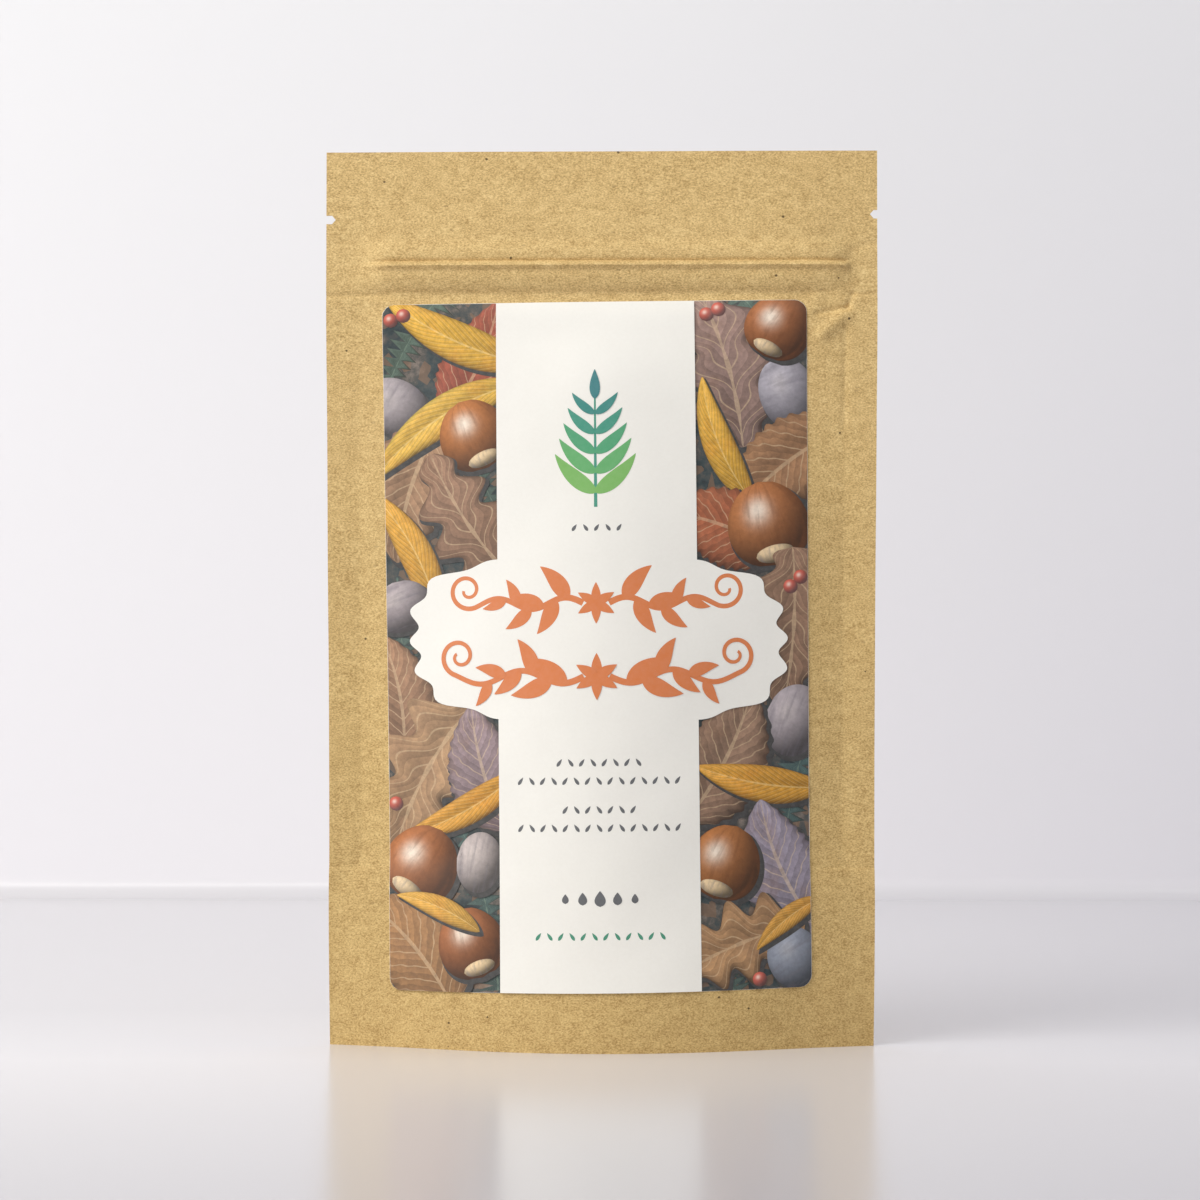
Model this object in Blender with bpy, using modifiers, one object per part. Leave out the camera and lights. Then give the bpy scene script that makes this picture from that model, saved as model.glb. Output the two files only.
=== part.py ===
"""Kraft-paper stand-up pouch, sealed and filled.

A front and a back sheet are joined along both sides and the top. A folded sheet at the
bottom opens and lets the pouch stand. A press-to-close zip runs across under the tear
notches, a label covers most of the front, and dried funnel mushrooms fill the inside.

Units are metres. The front faces -Y, +Z is up, and the origin is the middle of the base.
"""

import functools
import math
import random

import bmesh
import bpy
import numpy as np
from mathutils import Matrix, Vector

MM = 0.001

# Pouch, laid flat
POUCH_WIDTH = 130 * MM
POUCH_HEIGHT = 210 * MM
HALF_WIDTH = POUCH_WIDTH / 2
SHEET = 0.4 * MM
GAP = 0.3 * MM

# Belly: how far the middle of each panel stands out, against height
BELLY = (
    (0 * MM, 16.1 * MM),
    (30 * MM, 13.8 * MM),
    (70 * MM, 12.7 * MM),
    (110 * MM, 10.1 * MM),
    (150 * MM, 6.3 * MM),
    (180 * MM, 0.6 * MM),
    (210 * MM, 0.0 * MM),
)
# Exponent of the cosine across the width: a full curve at the base, flatter sides above
BASE_FULLNESS = 1.25
BELLY_FULLNESS = 1.8
FULLNESS_HEIGHT = 40 * MM

# Zip: two strips, welded to the panels' inner faces, that lock along one line
ZIP_LEFT = -54.5 * MM
ZIP_RIGHT = 57.2 * MM
ZIP_FADE = 3 * MM
ZIP_LINE = 183.4 * MM
ZIP_FLANGE_LOW = 177.4 * MM
ZIP_FLANGE_HIGH = 187.2 * MM
ZIP_FLANGE_FADE = 1.5 * MM
ZIP_FLANGE_REST = 0.35 * MM
ZIP_PROFILE_LIFT = 0.75 * MM
ZIP_PROFILE_HALF = 1.6 * MM
ZIP_PROFILE_FADE = 1.6 * MM
ZIP_STEM_HALF = 0.2 * MM
ZIP_LIP_HALF = ZIP_STEM_HALF + GAP
ZIP_HEAD_HALF = 0.75 * MM
ZIP_HOOK_HALF = ZIP_HEAD_HALF + GAP
ZIP_HOOK_WALL = 0.4 * MM

# Side seals: from here out to the edges the sheets lie on each other
SIDE_SEAL = 57.5 * MM
SIDE_SEAL_FADE = 49 * MM

# Bottom gusset: a sheet folded once, its legs sealed to the panels along a curved line
GUSSET_LEG = 41.5 * MM
GUSSET_SEAL_LOW = 6 * MM
GUSSET_SEAL_CURVE = 3
GUSSET_ARCH = 1.7
GUSSET_FADE = 5 * MM
GUSSET_SPREAD = SHEET + GAP
GUSSET_LEAST_RISE = 2 * MM

# Tear notches, punched in both side edges with one tool a little off centre
NOTCH_HEIGHT = 2.05 * MM
NOTCH_SHOULDER = 0.85 * MM
NOTCH_TIP = 0.2
NOTCH_LEFT_DEPTH = 2.2 * MM
NOTCH_LEFT_LEVEL = 194.0 * MM
NOTCH_RIGHT_DEPTH = 1.7 * MM
NOTCH_RIGHT_LEVEL = 195.0 * MM

# Label
LABEL_WIDTH = 100 * MM
LABEL_HEIGHT = 160 * MM
LABEL_RADIUS = 3 * MM
LABEL_SHEET = 0.4 * MM
LABEL_CENTRE = (-0.9 * MM, 93.6 * MM)
LABEL_TURN = math.radians(0.5)

# Dried mushrooms: a funnel on a thin stem, pressed flat
MUSHROOM_HEIGHT = 36 * MM
MUSHROOM_SIDES = 14
CAP_BASE = 0.72
CAP_RADIUS = 11.5 * MM
RIM_WAVE = 0.13
RIM_LIFT = 0.06
STEM_BEND = 3 * MM
MUSHROOM_SEED = 7

# Mesh steps
EDGE_OVERRUN = 1.5 * MM
WIDTH_STEPS = (0, 7, 14.5, 22, 29, 36, 43, 49, 54.5, 57.5, 61, 65)
ARC_SAMPLES = 260
CUTTER_DEPTH = 60 * MM
CUTTER_MARGIN = 10 * MM


def clear_scene():
    for old in list(bpy.data.objects):
        bpy.data.objects.remove(old, do_unlink=True)


def new_collection(name):
    collection = bpy.data.collections.new(name)
    bpy.context.scene.collection.children.link(collection)
    return collection


def add_material(target, name, colour, roughness, metallic=0.0):
    material = bpy.data.materials.new(name)
    material.use_nodes = True
    shader = material.node_tree.nodes["Principled BSDF"]
    shader.inputs["Base Color"].default_value = (*colour, 1.0)
    shader.inputs["Roughness"].default_value = roughness
    shader.inputs["Metallic"].default_value = metallic
    target.data.materials.append(material)


def object_from_bmesh(name, body, collection):
    mesh = bpy.data.meshes.new(name)
    body.to_mesh(mesh)
    body.free()
    made = bpy.data.objects.new(name, mesh)
    collection.objects.link(made)
    return made


def smooth_step(value, low, high):
    share = np.clip((value - low) / (high - low), 0.0, 1.0)
    return share * share * (3.0 - 2.0 * share)


def belly_depth(height):
    """Smooth curve through the belly's stations, straight on beyond both ends."""
    levels = np.array([station[0] for station in BELLY])
    depths = np.array([station[1] for station in BELLY])
    rates = np.diff(depths) / np.diff(levels)
    inner = 2 * rates[:-1] * rates[1:] / np.minimum(rates[:-1] + rates[1:], -1e-12)
    slopes = np.concatenate((rates[:1], inner, [0.0]))
    inside = min(max(height, levels[0]), levels[-1])
    cell = min(int(np.searchsorted(levels, inside, side="right")) - 1, len(rates) - 1)
    span = levels[cell + 1] - levels[cell]
    share = (inside - levels[cell]) / span
    curve = (
        depths[cell] * (1 + 2 * share) * (1 - share) ** 2
        + slopes[cell] * span * share * (1 - share) ** 2
        + depths[cell + 1] * share ** 2 * (3 - 2 * share)
        + slopes[cell + 1] * span * share ** 2 * (share - 1)
    )
    return curve + (height - inside) * slopes[0 if height < inside else -1]


@functools.lru_cache(maxsize=None)
def section(height):
    """Section at a height: distance along the sheet, x and belly, each from the middle out."""
    along = np.linspace(0.0, HALF_WIDTH, ARC_SAMPLES)
    fullness = BASE_FULLNESS + (BELLY_FULLNESS - BASE_FULLNESS) * smooth_step(
        height, 0.0, FULLNESS_HEIGHT
    )
    across = np.cos(0.5 * math.pi * along / HALF_WIDTH).clip(0.0, 1.0)
    belly = belly_depth(height) * across ** fullness
    slope = np.gradient(belly, along)
    steps = np.sqrt(np.maximum(1.0 - slope ** 2, 0.0))
    runs = 0.5 * (steps[1:] + steps[:-1]) * np.diff(along)
    return along, np.concatenate(([0.0], np.cumsum(runs))), belly


def place_across(along, height):
    table, x_values, _ = section(height)
    return math.copysign(float(np.interp(abs(along), table, x_values)), along)


def zip_share(along):
    inside = smooth_step(along, ZIP_LEFT - ZIP_FADE, ZIP_LEFT)
    return float(inside * (1.0 - smooth_step(along, ZIP_RIGHT, ZIP_RIGHT + ZIP_FADE)))


def zip_profile_share(height):
    away = abs(height - ZIP_LINE) - ZIP_PROFILE_HALF
    return float(1.0 - smooth_step(away, 0.0, ZIP_PROFILE_FADE))


def zip_flange_middle(height):
    """Distance of a zip strip's flange from the centre plane."""
    return ZIP_FLANGE_REST + ZIP_PROFILE_LIFT * zip_profile_share(height)


def inner_depth(along, height):
    """Distance of a panel's inner face from the centre plane."""
    table, _, belly = section(height)
    depth = GAP / 2 + float(np.interp(abs(along), table, belly))
    at_seal = smooth_step(abs(along), SIDE_SEAL_FADE, SIDE_SEAL)
    at_seal *= 1.0 - smooth_step(height, GUSSET_LEG, GUSSET_LEG + GUSSET_FADE)
    depth += GUSSET_SPREAD * float(at_seal)
    below = smooth_step(height, ZIP_FLANGE_LOW - ZIP_FLANGE_FADE, ZIP_FLANGE_LOW)
    above = smooth_step(height, ZIP_FLANGE_HIGH, ZIP_FLANGE_HIGH + ZIP_FLANGE_FADE)
    flange = float(below * (1.0 - above)) * (SHEET + GAP)
    profile = ZIP_PROFILE_LIFT * zip_profile_share(height)
    return depth + zip_share(along) * (flange + profile)


def width_stations():
    right = [step * MM for step in WIDTH_STEPS]
    return [-place for place in reversed(right[1:])] + right


def height_stations():
    """Rows of the panels' mesh, close together over the zip."""
    low = list(np.linspace(-EDGE_OVERRUN, GUSSET_LEG, 6))
    belly = list(np.linspace(GUSSET_LEG + GUSSET_FADE, ZIP_FLANGE_LOW - ZIP_FLANGE_FADE, 17))
    over_zip = list(np.linspace(ZIP_FLANGE_LOW, ZIP_FLANGE_HIGH, 12))
    top = list(np.linspace(ZIP_FLANGE_HIGH + ZIP_FLANGE_FADE, POUCH_HEIGHT + EDGE_OVERRUN, 4))
    return low + belly + over_zip + top


def add_surface(name, rows, collection, outward_left):
    """Open surface through rows of points, with its faces turned outwards."""
    body = bmesh.new()
    grid = [[body.verts.new(point) for point in row] for row in rows]
    for lower, upper in zip(grid, grid[1:]):
        for place in range(len(lower) - 1):
            corners = [lower[place], lower[place + 1], upper[place + 1], upper[place]]
            if outward_left:
                corners.reverse()
            body.faces.new(corners)
    return object_from_bmesh(name, body, collection)


def thicken(target, thickness, offset):
    wall = target.modifiers.new("Thickness", "SOLIDIFY")
    wall.thickness = thickness
    wall.offset = offset
    wall.use_even_offset = True


def cut_with(target, cutter):
    cut = target.modifiers.new("Cut by " + cutter.name, "BOOLEAN")
    cut.operation = "DIFFERENCE"
    cut.solver = "EXACT"
    cut.object = cutter


def add_block_cutter(name, low, high, collection):
    low, high = Vector(low), Vector(high)
    body = bmesh.new()
    size = high - low
    place = Matrix.Translation((low + high) / 2) @ Matrix.Diagonal((*size, 1.0))
    bmesh.ops.create_cube(body, size=1.0, matrix=place)
    return object_from_bmesh(name, body, collection)


def add_notch_cutter(name, side, level, depth, collection):
    """Block that comes in from a side edge and narrows to a blunt tip."""
    edge = side * HALF_WIDTH
    tip = side * (HALF_WIDTH - depth)
    outside = edge + side * CUTTER_MARGIN
    low = (min(tip, outside), -CUTTER_MARGIN, level - NOTCH_HEIGHT / 2)
    high = (max(tip, outside), CUTTER_MARGIN, level + NOTCH_HEIGHT / 2)
    cutter = add_block_cutter(name, low, high, collection)
    body = bmesh.new()
    body.from_mesh(cutter.data)
    everything = body.verts[:] + body.edges[:] + body.faces[:]
    shoulder = Vector((tip + side * NOTCH_SHOULDER, 0.0, level))
    bmesh.ops.bisect_plane(body, geom=everything, plane_co=shoulder, plane_no=(1.0, 0.0, 0.0))
    for corner in body.verts:
        if abs(corner.co.x - tip) < NOTCH_SHOULDER / 2:
            corner.co.z = level + (corner.co.z - level) * NOTCH_TIP
    body.to_mesh(cutter.data)
    body.free()
    return cutter


def add_cutters(collection):
    reach = HALF_WIDTH + CUTTER_MARGIN
    below = (-reach, -CUTTER_DEPTH, -CUTTER_MARGIN)
    above = (-reach, -CUTTER_DEPTH, POUCH_HEIGHT)
    cutters = {
        "floor": add_block_cutter("floor_cut", below, (reach, CUTTER_DEPTH, 0.0), collection),
        "top": add_block_cutter(
            "top_cut", above, (reach, CUTTER_DEPTH, POUCH_HEIGHT + CUTTER_MARGIN), collection
        ),
        "left": add_notch_cutter(
            "left_notch_cut", -1, NOTCH_LEFT_LEVEL, NOTCH_LEFT_DEPTH, collection
        ),
        "right": add_notch_cutter(
            "right_notch_cut", 1, NOTCH_RIGHT_LEVEL, NOTCH_RIGHT_DEPTH, collection
        ),
    }
    for cutter in cutters.values():
        cutter.hide_render = True
        cutter.display_type = "WIRE"
    return cutters


def add_panel(name, facing, cutters, collection):
    """One sheet of the pouch. Facing is -1 for the front and 1 for the back."""
    rows = []
    for height in height_stations():
        row = []
        for along in width_stations():
            depth = inner_depth(along, height)
            row.append((place_across(along, height), facing * depth, height))
        rows.append(row)
    panel = add_surface(name, rows, collection, outward_left=facing > 0)
    thicken(panel, SHEET, offset=1.0)
    for cutter in cutters.values():
        cut_with(panel, cutter)
    add_material(panel, name + " kraft laminate", (0.60, 0.43, 0.20), 0.75)
    return panel


def gusset_leg(along, steps_up, steps_over):
    """Points of one leg at a place across, from under the floor to the fold."""
    share = min(abs(along) / SIDE_SEAL, 1.0)
    seal_top = GUSSET_SEAL_LOW + (GUSSET_LEG - GUSSET_LEAST_RISE - GUSSET_SEAL_LOW) * (
        share ** GUSSET_SEAL_CURVE
    )
    inset = GAP + SHEET / 2
    points = []
    for height in np.linspace(-EDGE_OVERRUN, seal_top, steps_up):
        points.append((inner_depth(along, height) - inset, height))
    spread = points[-1][0]
    free_length = GUSSET_LEG - seal_top
    rise = math.sqrt(max(free_length ** 2 - GUSSET_ARCH * spread ** 2, GUSSET_LEAST_RISE ** 2))
    for step in range(1, steps_over + 1):
        angle = 0.5 * math.pi * step / steps_over
        height = seal_top + rise * math.sin(angle)
        inside_panel = inner_depth(along, height) - inset
        points.append((min(spread * math.cos(angle), inside_panel), height))
    return points


def add_gusset(cutters, collection):
    columns = []
    for along in width_stations():
        leg = gusset_leg(along, 4, 5)
        column = []
        for depth, height in leg:
            column.append((place_across(along, height), -depth, height))
        for depth, height in reversed(leg[:-1]):
            column.append((place_across(along, height), depth, height))
        columns.append(column)
    rows = [list(row) for row in zip(*columns)]
    gusset = add_surface("bottom_gusset", rows, collection, outward_left=False)
    thicken(gusset, SHEET, offset=0.0)
    cut_with(gusset, cutters["floor"])
    add_material(gusset, "Gusset kraft laminate", (0.52, 0.37, 0.17), 0.8)
    return gusset


def add_extruded(name, outline, collection):
    """Solid of a (y, z) outline, as long as the zip."""
    curve = bpy.data.curves.new(name, "CURVE")
    curve.dimensions = "2D"
    curve.fill_mode = "BOTH"
    curve.extrude = (ZIP_RIGHT - ZIP_LEFT) / 2
    spline = curve.splines.new("POLY")
    spline.points.add(len(outline) - 1)
    for point, (depth, height) in zip(spline.points, outline):
        point.co = (depth, height, 0.0, 1.0)
    spline.use_cyclic_u = True
    made = bpy.data.objects.new(name, curve)
    made.location = ((ZIP_LEFT + ZIP_RIGHT) / 2, 0.0, 0.0)
    made.rotation_euler = (math.radians(90), 0.0, math.radians(90))
    collection.objects.link(made)
    return made


def flange_outline(facing, inner_bump):
    """Outline of a zip strip: up its outer face and down its inner one, over the bump."""
    heights = np.linspace(ZIP_FLANGE_LOW, ZIP_FLANGE_HIGH, 14)
    outer = [(facing * (zip_flange_middle(place) + SHEET / 2), place) for place in heights]
    inner = [(facing * (zip_flange_middle(place) - SHEET / 2), place) for place in heights]
    clear = ZIP_PROFILE_HALF
    above = [point for point in reversed(inner) if point[1] > ZIP_LINE + clear]
    under = [point for point in reversed(inner) if point[1] < ZIP_LINE - clear]
    return outer + above + inner_bump + under


def add_zip(collection):
    face = ZIP_FLANGE_REST + ZIP_PROFILE_LIFT - SHEET / 2
    head_front = face - GAP
    head_back = head_front - SHEET
    lip_front = head_back - GAP
    lip_back = lip_front - SHEET
    wall = ZIP_HOOK_HALF + ZIP_HOOK_WALL
    upper_hook = [
        (face, wall), (lip_back, wall), (lip_back, ZIP_LIP_HALF), (lip_front, ZIP_LIP_HALF),
        (lip_front, ZIP_HOOK_HALF), (face, ZIP_HOOK_HALF),
    ]
    hooks = [(-depth, ZIP_LINE + rise) for depth, rise in upper_hook]
    hooks += [(-depth, ZIP_LINE - rise) for depth, rise in reversed(upper_hook)]
    channel = add_extruded("zip_channel", flange_outline(-1, hooks), collection)
    add_material(channel, "Channel polyethylene", (0.80, 0.80, 0.78), 0.4)
    upper_rib = [
        (face, ZIP_STEM_HALF), (-head_back, ZIP_STEM_HALF),
        (-head_back, ZIP_HEAD_HALF), (-head_front, ZIP_STEM_HALF),
    ]
    rib = [(depth, ZIP_LINE + rise) for depth, rise in upper_rib]
    rib += [(depth, ZIP_LINE - rise) for depth, rise in reversed(upper_rib)]
    strip = add_extruded("zip_rib", flange_outline(1, rib), collection)
    add_material(strip, "Rib polyethylene", (0.80, 0.80, 0.78), 0.4)


def label_steps(length, count):
    """Even steps along a side, with the first and last as long as the corner's radius."""
    half = length / 2
    middle = np.linspace(-(half - LABEL_RADIUS), half - LABEL_RADIUS, count - 1)
    return [-half] + list(middle) + [half]


def add_label(collection):
    columns = label_steps(LABEL_WIDTH, 15)
    lines = label_steps(LABEL_HEIGHT, 23)
    corner_pull = LABEL_RADIUS * (1.0 - math.sqrt(0.5))
    turn_cos, turn_sin = math.cos(LABEL_TURN), math.sin(LABEL_TURN)
    rows = []
    for up in lines:
        row = []
        for right in columns:
            is_corner = abs(up) == LABEL_HEIGHT / 2 and abs(right) == LABEL_WIDTH / 2
            pull = corner_pull if is_corner else 0.0
            side = right - math.copysign(pull, right)
            rise = up - math.copysign(pull, up)
            along = LABEL_CENTRE[0] + side * turn_cos - rise * turn_sin
            height = LABEL_CENTRE[1] + side * turn_sin + rise * turn_cos
            depth = inner_depth(along, height) + SHEET + GAP
            row.append((place_across(along, height), -depth, height))
        rows.append(row)
    label = add_surface("label", rows, collection, outward_left=False)
    thicken(label, LABEL_SHEET, offset=1.0)
    add_material(label, "Label paper", (0.86, 0.84, 0.79), 0.5)
    return label


def mushroom_profile():
    """Radius and height of the turned shape, up the outside and down into the funnel."""
    stem = CAP_RADIUS * 0.2
    return (
        (0.0, 0.0), (stem, 0.01), (stem * 0.8, 0.3), (stem, 0.58), (CAP_RADIUS * 0.42, CAP_BASE),
        (CAP_RADIUS * 0.86, 0.88), (CAP_RADIUS, 0.97), (CAP_RADIUS * 0.93, 1.0),
        (CAP_RADIUS * 0.5, 0.88), (CAP_RADIUS * 0.16, 0.8), (0.0, 0.78),
    )


def add_mushroom(name, place, size, flatness, turn, draw, collection):
    """Dried mushroom, pressed flat towards the centre plane and shrunk unevenly."""
    body = bmesh.new()
    profile = [body.verts.new((radius, 0.0, rise)) for radius, rise in mushroom_profile()]
    edges = [body.edges.new(pair) for pair in zip(profile, profile[1:])]
    bmesh.ops.spin(
        body, geom=profile + edges, cent=(0.0, 0.0, 0.0), axis=(0.0, 0.0, 1.0),
        angle=math.radians(360), steps=MUSHROOM_SIDES, use_merge=True,
    )
    bmesh.ops.remove_doubles(body, verts=body.verts, dist=0.01 * MM)
    bmesh.ops.recalc_face_normals(body, faces=body.faces)
    phases = [draw.uniform(0.0, 2 * math.pi) for _ in range(4)]
    bend = draw.choice((-1, 1)) * STEM_BEND
    for corner in body.verts:
        angle = math.atan2(corner.co.y, corner.co.x)
        rise = corner.co.z
        at_rim = max(0.0, rise - 0.6) / 0.4
        wave = 1.0 + at_rim * RIM_WAVE * math.sin(3 * angle + phases[0])
        wave += RIM_WAVE * 0.5 * math.sin(2 * angle + 9 * rise + phases[1])
        lift = at_rim * RIM_LIFT * math.sin(2 * angle + phases[2])
        sway = bend * (1.0 - rise) ** 2
        corner.co.x = corner.co.x * wave + sway
        corner.co.y = corner.co.y * wave * flatness
        corner.co.z = (rise - 0.5 + lift) * MUSHROOM_HEIGHT
    bmesh.ops.scale(body, vec=(size, size, size), verts=body.verts)
    mushroom = object_from_bmesh(name, body, collection)
    mushroom.location = place
    mushroom.rotation_euler = (0.0, turn, 0.0)
    add_material(mushroom, name.replace("_", " ") + " flesh", (0.30, 0.20, 0.11), 0.9)
    return mushroom


def mushroom_places():
    """Place, size and flatness of each one: two lower rows, doubled in the middle, and a top row."""
    places = []
    for height in (66 * MM, 105 * MM):
        for column in (-13 * MM, 13 * MM):
            for depth in (-5 * MM, 5 * MM):
                places.append(((column, depth, height), 1.0, 0.34))
        for column in (-37 * MM, 37 * MM):
            places.append(((column, 0.0, height), 0.9, 0.24))
    for column in (-27 * MM, 0.0, 27 * MM):
        places.append(((column, 0.0, 141 * MM), 0.8, 0.22))
    return places


def add_mushrooms(collection):
    draw = random.Random(MUSHROOM_SEED)
    for number, (place, size, flatness) in enumerate(mushroom_places(), start=1):
        upside_down = (round(place[0] / MM) // 13 + round(place[1] / MM)) % 2 == 0
        lean = math.radians(draw.uniform(-6.0, 6.0))
        turn = lean + (math.pi if upside_down else 0.0)
        name = f"dried_mushroom_{number:02d}"
        add_mushroom(name, place, size, flatness, turn, draw, collection)


def main():
    clear_scene()
    pouch = new_collection("Stand-up pouch")
    cutters = add_cutters(new_collection("Cutters"))
    add_panel("front_panel", -1, cutters, pouch)
    add_panel("back_panel", 1, cutters, pouch)
    add_gusset(cutters, pouch)
    add_zip(pouch)
    add_label(pouch)
    add_mushrooms(pouch)


main()
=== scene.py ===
# %% [markdown]
# # A brown paper stand-up pouch
# The real object is a sealed food pouch. Two sheets of kraft laminate are welded along both
# sides, a third sheet is folded into the bottom so that the pouch stands, a press-to-close
# zip runs across under two tear notches, and a paper label covers most of the front.
# The solid model of every piece comes first, as a frame that nothing here may move.

import contextlib
import functools
import math
import random

import bpy
import numpy as np
from mathutils import Matrix, Vector


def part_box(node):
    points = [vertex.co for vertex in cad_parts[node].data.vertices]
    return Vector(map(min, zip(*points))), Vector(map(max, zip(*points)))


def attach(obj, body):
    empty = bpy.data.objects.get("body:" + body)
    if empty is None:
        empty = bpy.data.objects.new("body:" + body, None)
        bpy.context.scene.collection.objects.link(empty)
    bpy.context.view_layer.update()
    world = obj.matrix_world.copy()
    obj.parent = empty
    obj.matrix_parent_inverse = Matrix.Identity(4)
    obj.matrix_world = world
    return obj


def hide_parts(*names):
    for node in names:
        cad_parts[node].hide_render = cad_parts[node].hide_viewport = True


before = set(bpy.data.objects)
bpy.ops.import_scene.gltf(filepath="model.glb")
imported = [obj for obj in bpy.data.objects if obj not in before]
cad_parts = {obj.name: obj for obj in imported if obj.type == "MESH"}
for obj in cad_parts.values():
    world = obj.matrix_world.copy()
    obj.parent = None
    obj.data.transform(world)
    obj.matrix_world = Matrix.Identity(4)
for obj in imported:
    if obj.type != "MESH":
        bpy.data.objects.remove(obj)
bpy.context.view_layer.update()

# %% [markdown]
# Lengths below are millimetres, because paper, zips and labels are specified that way. Blender
# works in metres, so one factor turns the finished points into metres. The size of the pouch
# is read from the frame. What it can't tell is written as a number: the laminate's thickness,
# half the gap in a weld, and where the side welds begin.

# %% Sizes
MM = 0.001
panel_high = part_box("front_panel")[1]
HALF_WIDTH, HEIGHT = panel_high[0] / MM, panel_high[2] / MM
SHEET, BOND = 0.16, 0.03
SEAL_INNER = 57.5
print("pouch:", round(2 * HALF_WIDTH, 1), "x", round(HEIGHT, 1), "mm")

# %% [markdown]
# A few helpers keep the cells short. An operator acts on everything that is selected, and the
# frame arrives selected, so each helper first deselects all and then picks its own object.

# %% Helpers for objects
@contextlib.contextmanager
def edit_mode():
    bpy.ops.object.mode_set(mode="EDIT")
    yield
    bpy.ops.object.mode_set(mode="OBJECT")


def select_only(*targets):
    bpy.ops.object.select_all(action="DESELECT")
    for target in targets:
        target.select_set(True)
    bpy.context.view_layer.objects.active = targets[0]


def read_points(target):
    flat = np.empty(len(target.data.vertices) * 3)
    target.data.vertices.foreach_get("co", flat)
    return flat.reshape(-1, 3)


def write_points(target, points):
    target.data.vertices.foreach_set("co", np.asarray(points, float).ravel())
    target.data.update()


def add_grid(name, columns, rows, width, height, centre=(0.0, 0.0), level=0.0):
    """Flat grid in the XY plane with a UV map that runs 0 to 1 both ways."""
    bpy.ops.object.select_all(action="DESELECT")
    bpy.ops.mesh.primitive_grid_add(x_subdivisions=columns, y_subdivisions=rows, size=1.0)
    made = bpy.context.object
    made.name = made.data.name = name
    write_points(made, read_points(made) * (width, height, 1.0) + (*centre, level))
    return made


templates = {}


def copy_grid(name, columns, rows):
    """Unit grid with its own mesh, copied from one that is modelled once for each count."""
    if (columns, rows) not in templates:
        templates[columns, rows] = add_grid("template", columns, rows, 1.0, 1.0)
    made = bpy.data.objects.new(name, templates[columns, rows].data.copy())
    bpy.context.scene.collection.objects.link(made)
    return made


def cut_line(point, normal, trim):
    """Bisects along a line: all of a flat piece, to trim what lies outside, or its selection."""
    with edit_mode():
        if trim:
            bpy.ops.mesh.select_all(action="SELECT")
        bpy.ops.mesh.bisect(
            plane_co=(*point, 0.0), plane_no=(*normal, 0.0), clear_outer=trim, threshold=1e-5
        )


def select_faces(target, wanted):
    """Selects the faces whose centre passes a test, and nothing else."""
    select_only(target)
    with edit_mode():
        bpy.ops.mesh.select_mode(type="FACE")
        bpy.ops.mesh.select_all(action="DESELECT")
    for face in target.data.polygons:
        face.select = bool(wanted(face.center))


def turn_over(target):
    """Turns the faces of a sheet round, so that they point to the back of the pouch."""
    select_only(target)
    with edit_mode():
        bpy.ops.mesh.select_all(action="SELECT")
        bpy.ops.mesh.flip_normals()


def join_pieces(name, pieces):
    select_only(*pieces)
    bpy.ops.object.join()
    pieces[0].name = pieces[0].data.name = name
    return pieces[0]


def thicken(target, thickness, offset):
    """Gives a sheet its thickness. Offset -1 grows it inwards and 1 outwards."""
    select_only(target)
    wall = target.modifiers.new("Sheet", "SOLIDIFY")
    wall.thickness, wall.offset = thickness * MM, offset
    bpy.ops.object.modifier_apply(modifier=wall.name)


def finish_piece(piece, material, replaced=None, angle=50):
    """Smooth shading, one material, and the piece's place in the frame."""
    select_only(piece)
    bpy.ops.object.shade_smooth_by_angle(angle=math.radians(angle))
    piece.data.materials.clear()
    piece.data.materials.append(material)
    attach(piece, "root")
    if replaced:
        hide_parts(replaced)
    print(piece.name, "faces:", len(piece.data.polygons))


# %% [markdown]
# ## The shape of the filled sheets
# Paper bends but hardly stretches. So a point on a sheet is named by how far it lies along the
# paper from the middle, and by its height, and one rule turns those two into a place in space.
# The more the belly curves, the narrower the pouch gets, less a little because damp paper gives.
# The belly is a cosine across the width. Its depth follows a smooth curve up the pouch: deepest
# at the base, where the folded bottom pushes the sheets apart, and flat from the zip upwards.

# %% Belly of the pouch
BELLY_LEVELS = np.array((0.0, 30.0, 70.0, 110.0, 150.0, 180.0, 210.0))
BELLY_DEPTHS = np.array((16.1, 13.8, 12.7, 10.1, 6.3, 0.6, 0.0))
BASE_FULLNESS, BELLY_FULLNESS, FULLNESS_HEIGHT = 1.25, 1.55, 40.0
WELD_EDGE = (34.0, 46.0)
GIVE = 0.62


def smooth_step(value, low, high):
    share = np.clip((value - low) / (high - low), 0.0, 1.0)
    return share * share * (3.0 - 2.0 * share)


def belly_depth(height):
    """Smooth curve through the belly's levels, without overshoot."""
    rates = np.diff(BELLY_DEPTHS) / np.diff(BELLY_LEVELS)
    inner = 2 * rates[:-1] * rates[1:] / np.minimum(rates[:-1] + rates[1:], -1e-9)
    slopes = np.concatenate((rates[:1], inner, [0.0]))
    inside = np.clip(height, BELLY_LEVELS[0], BELLY_LEVELS[-1])
    cell = np.clip(np.searchsorted(BELLY_LEVELS, inside, side="right") - 1, 0, len(rates) - 1)
    span = BELLY_LEVELS[cell + 1] - BELLY_LEVELS[cell]
    share = (inside - BELLY_LEVELS[cell]) / span
    return (
        BELLY_DEPTHS[cell] * (1 + 2 * share) * (1 - share) ** 2
        + slopes[cell] * span * share * (1 - share) ** 2
        + BELLY_DEPTHS[cell + 1] * share ** 2 * (3 - 2 * share)
        + slopes[cell + 1] * span * share ** 2 * (share - 1)
    )


print("belly at 0, 100, 200 mm:", np.round(belly_depth(np.array([0.0, 100.0, 200.0])), 2))

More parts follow.
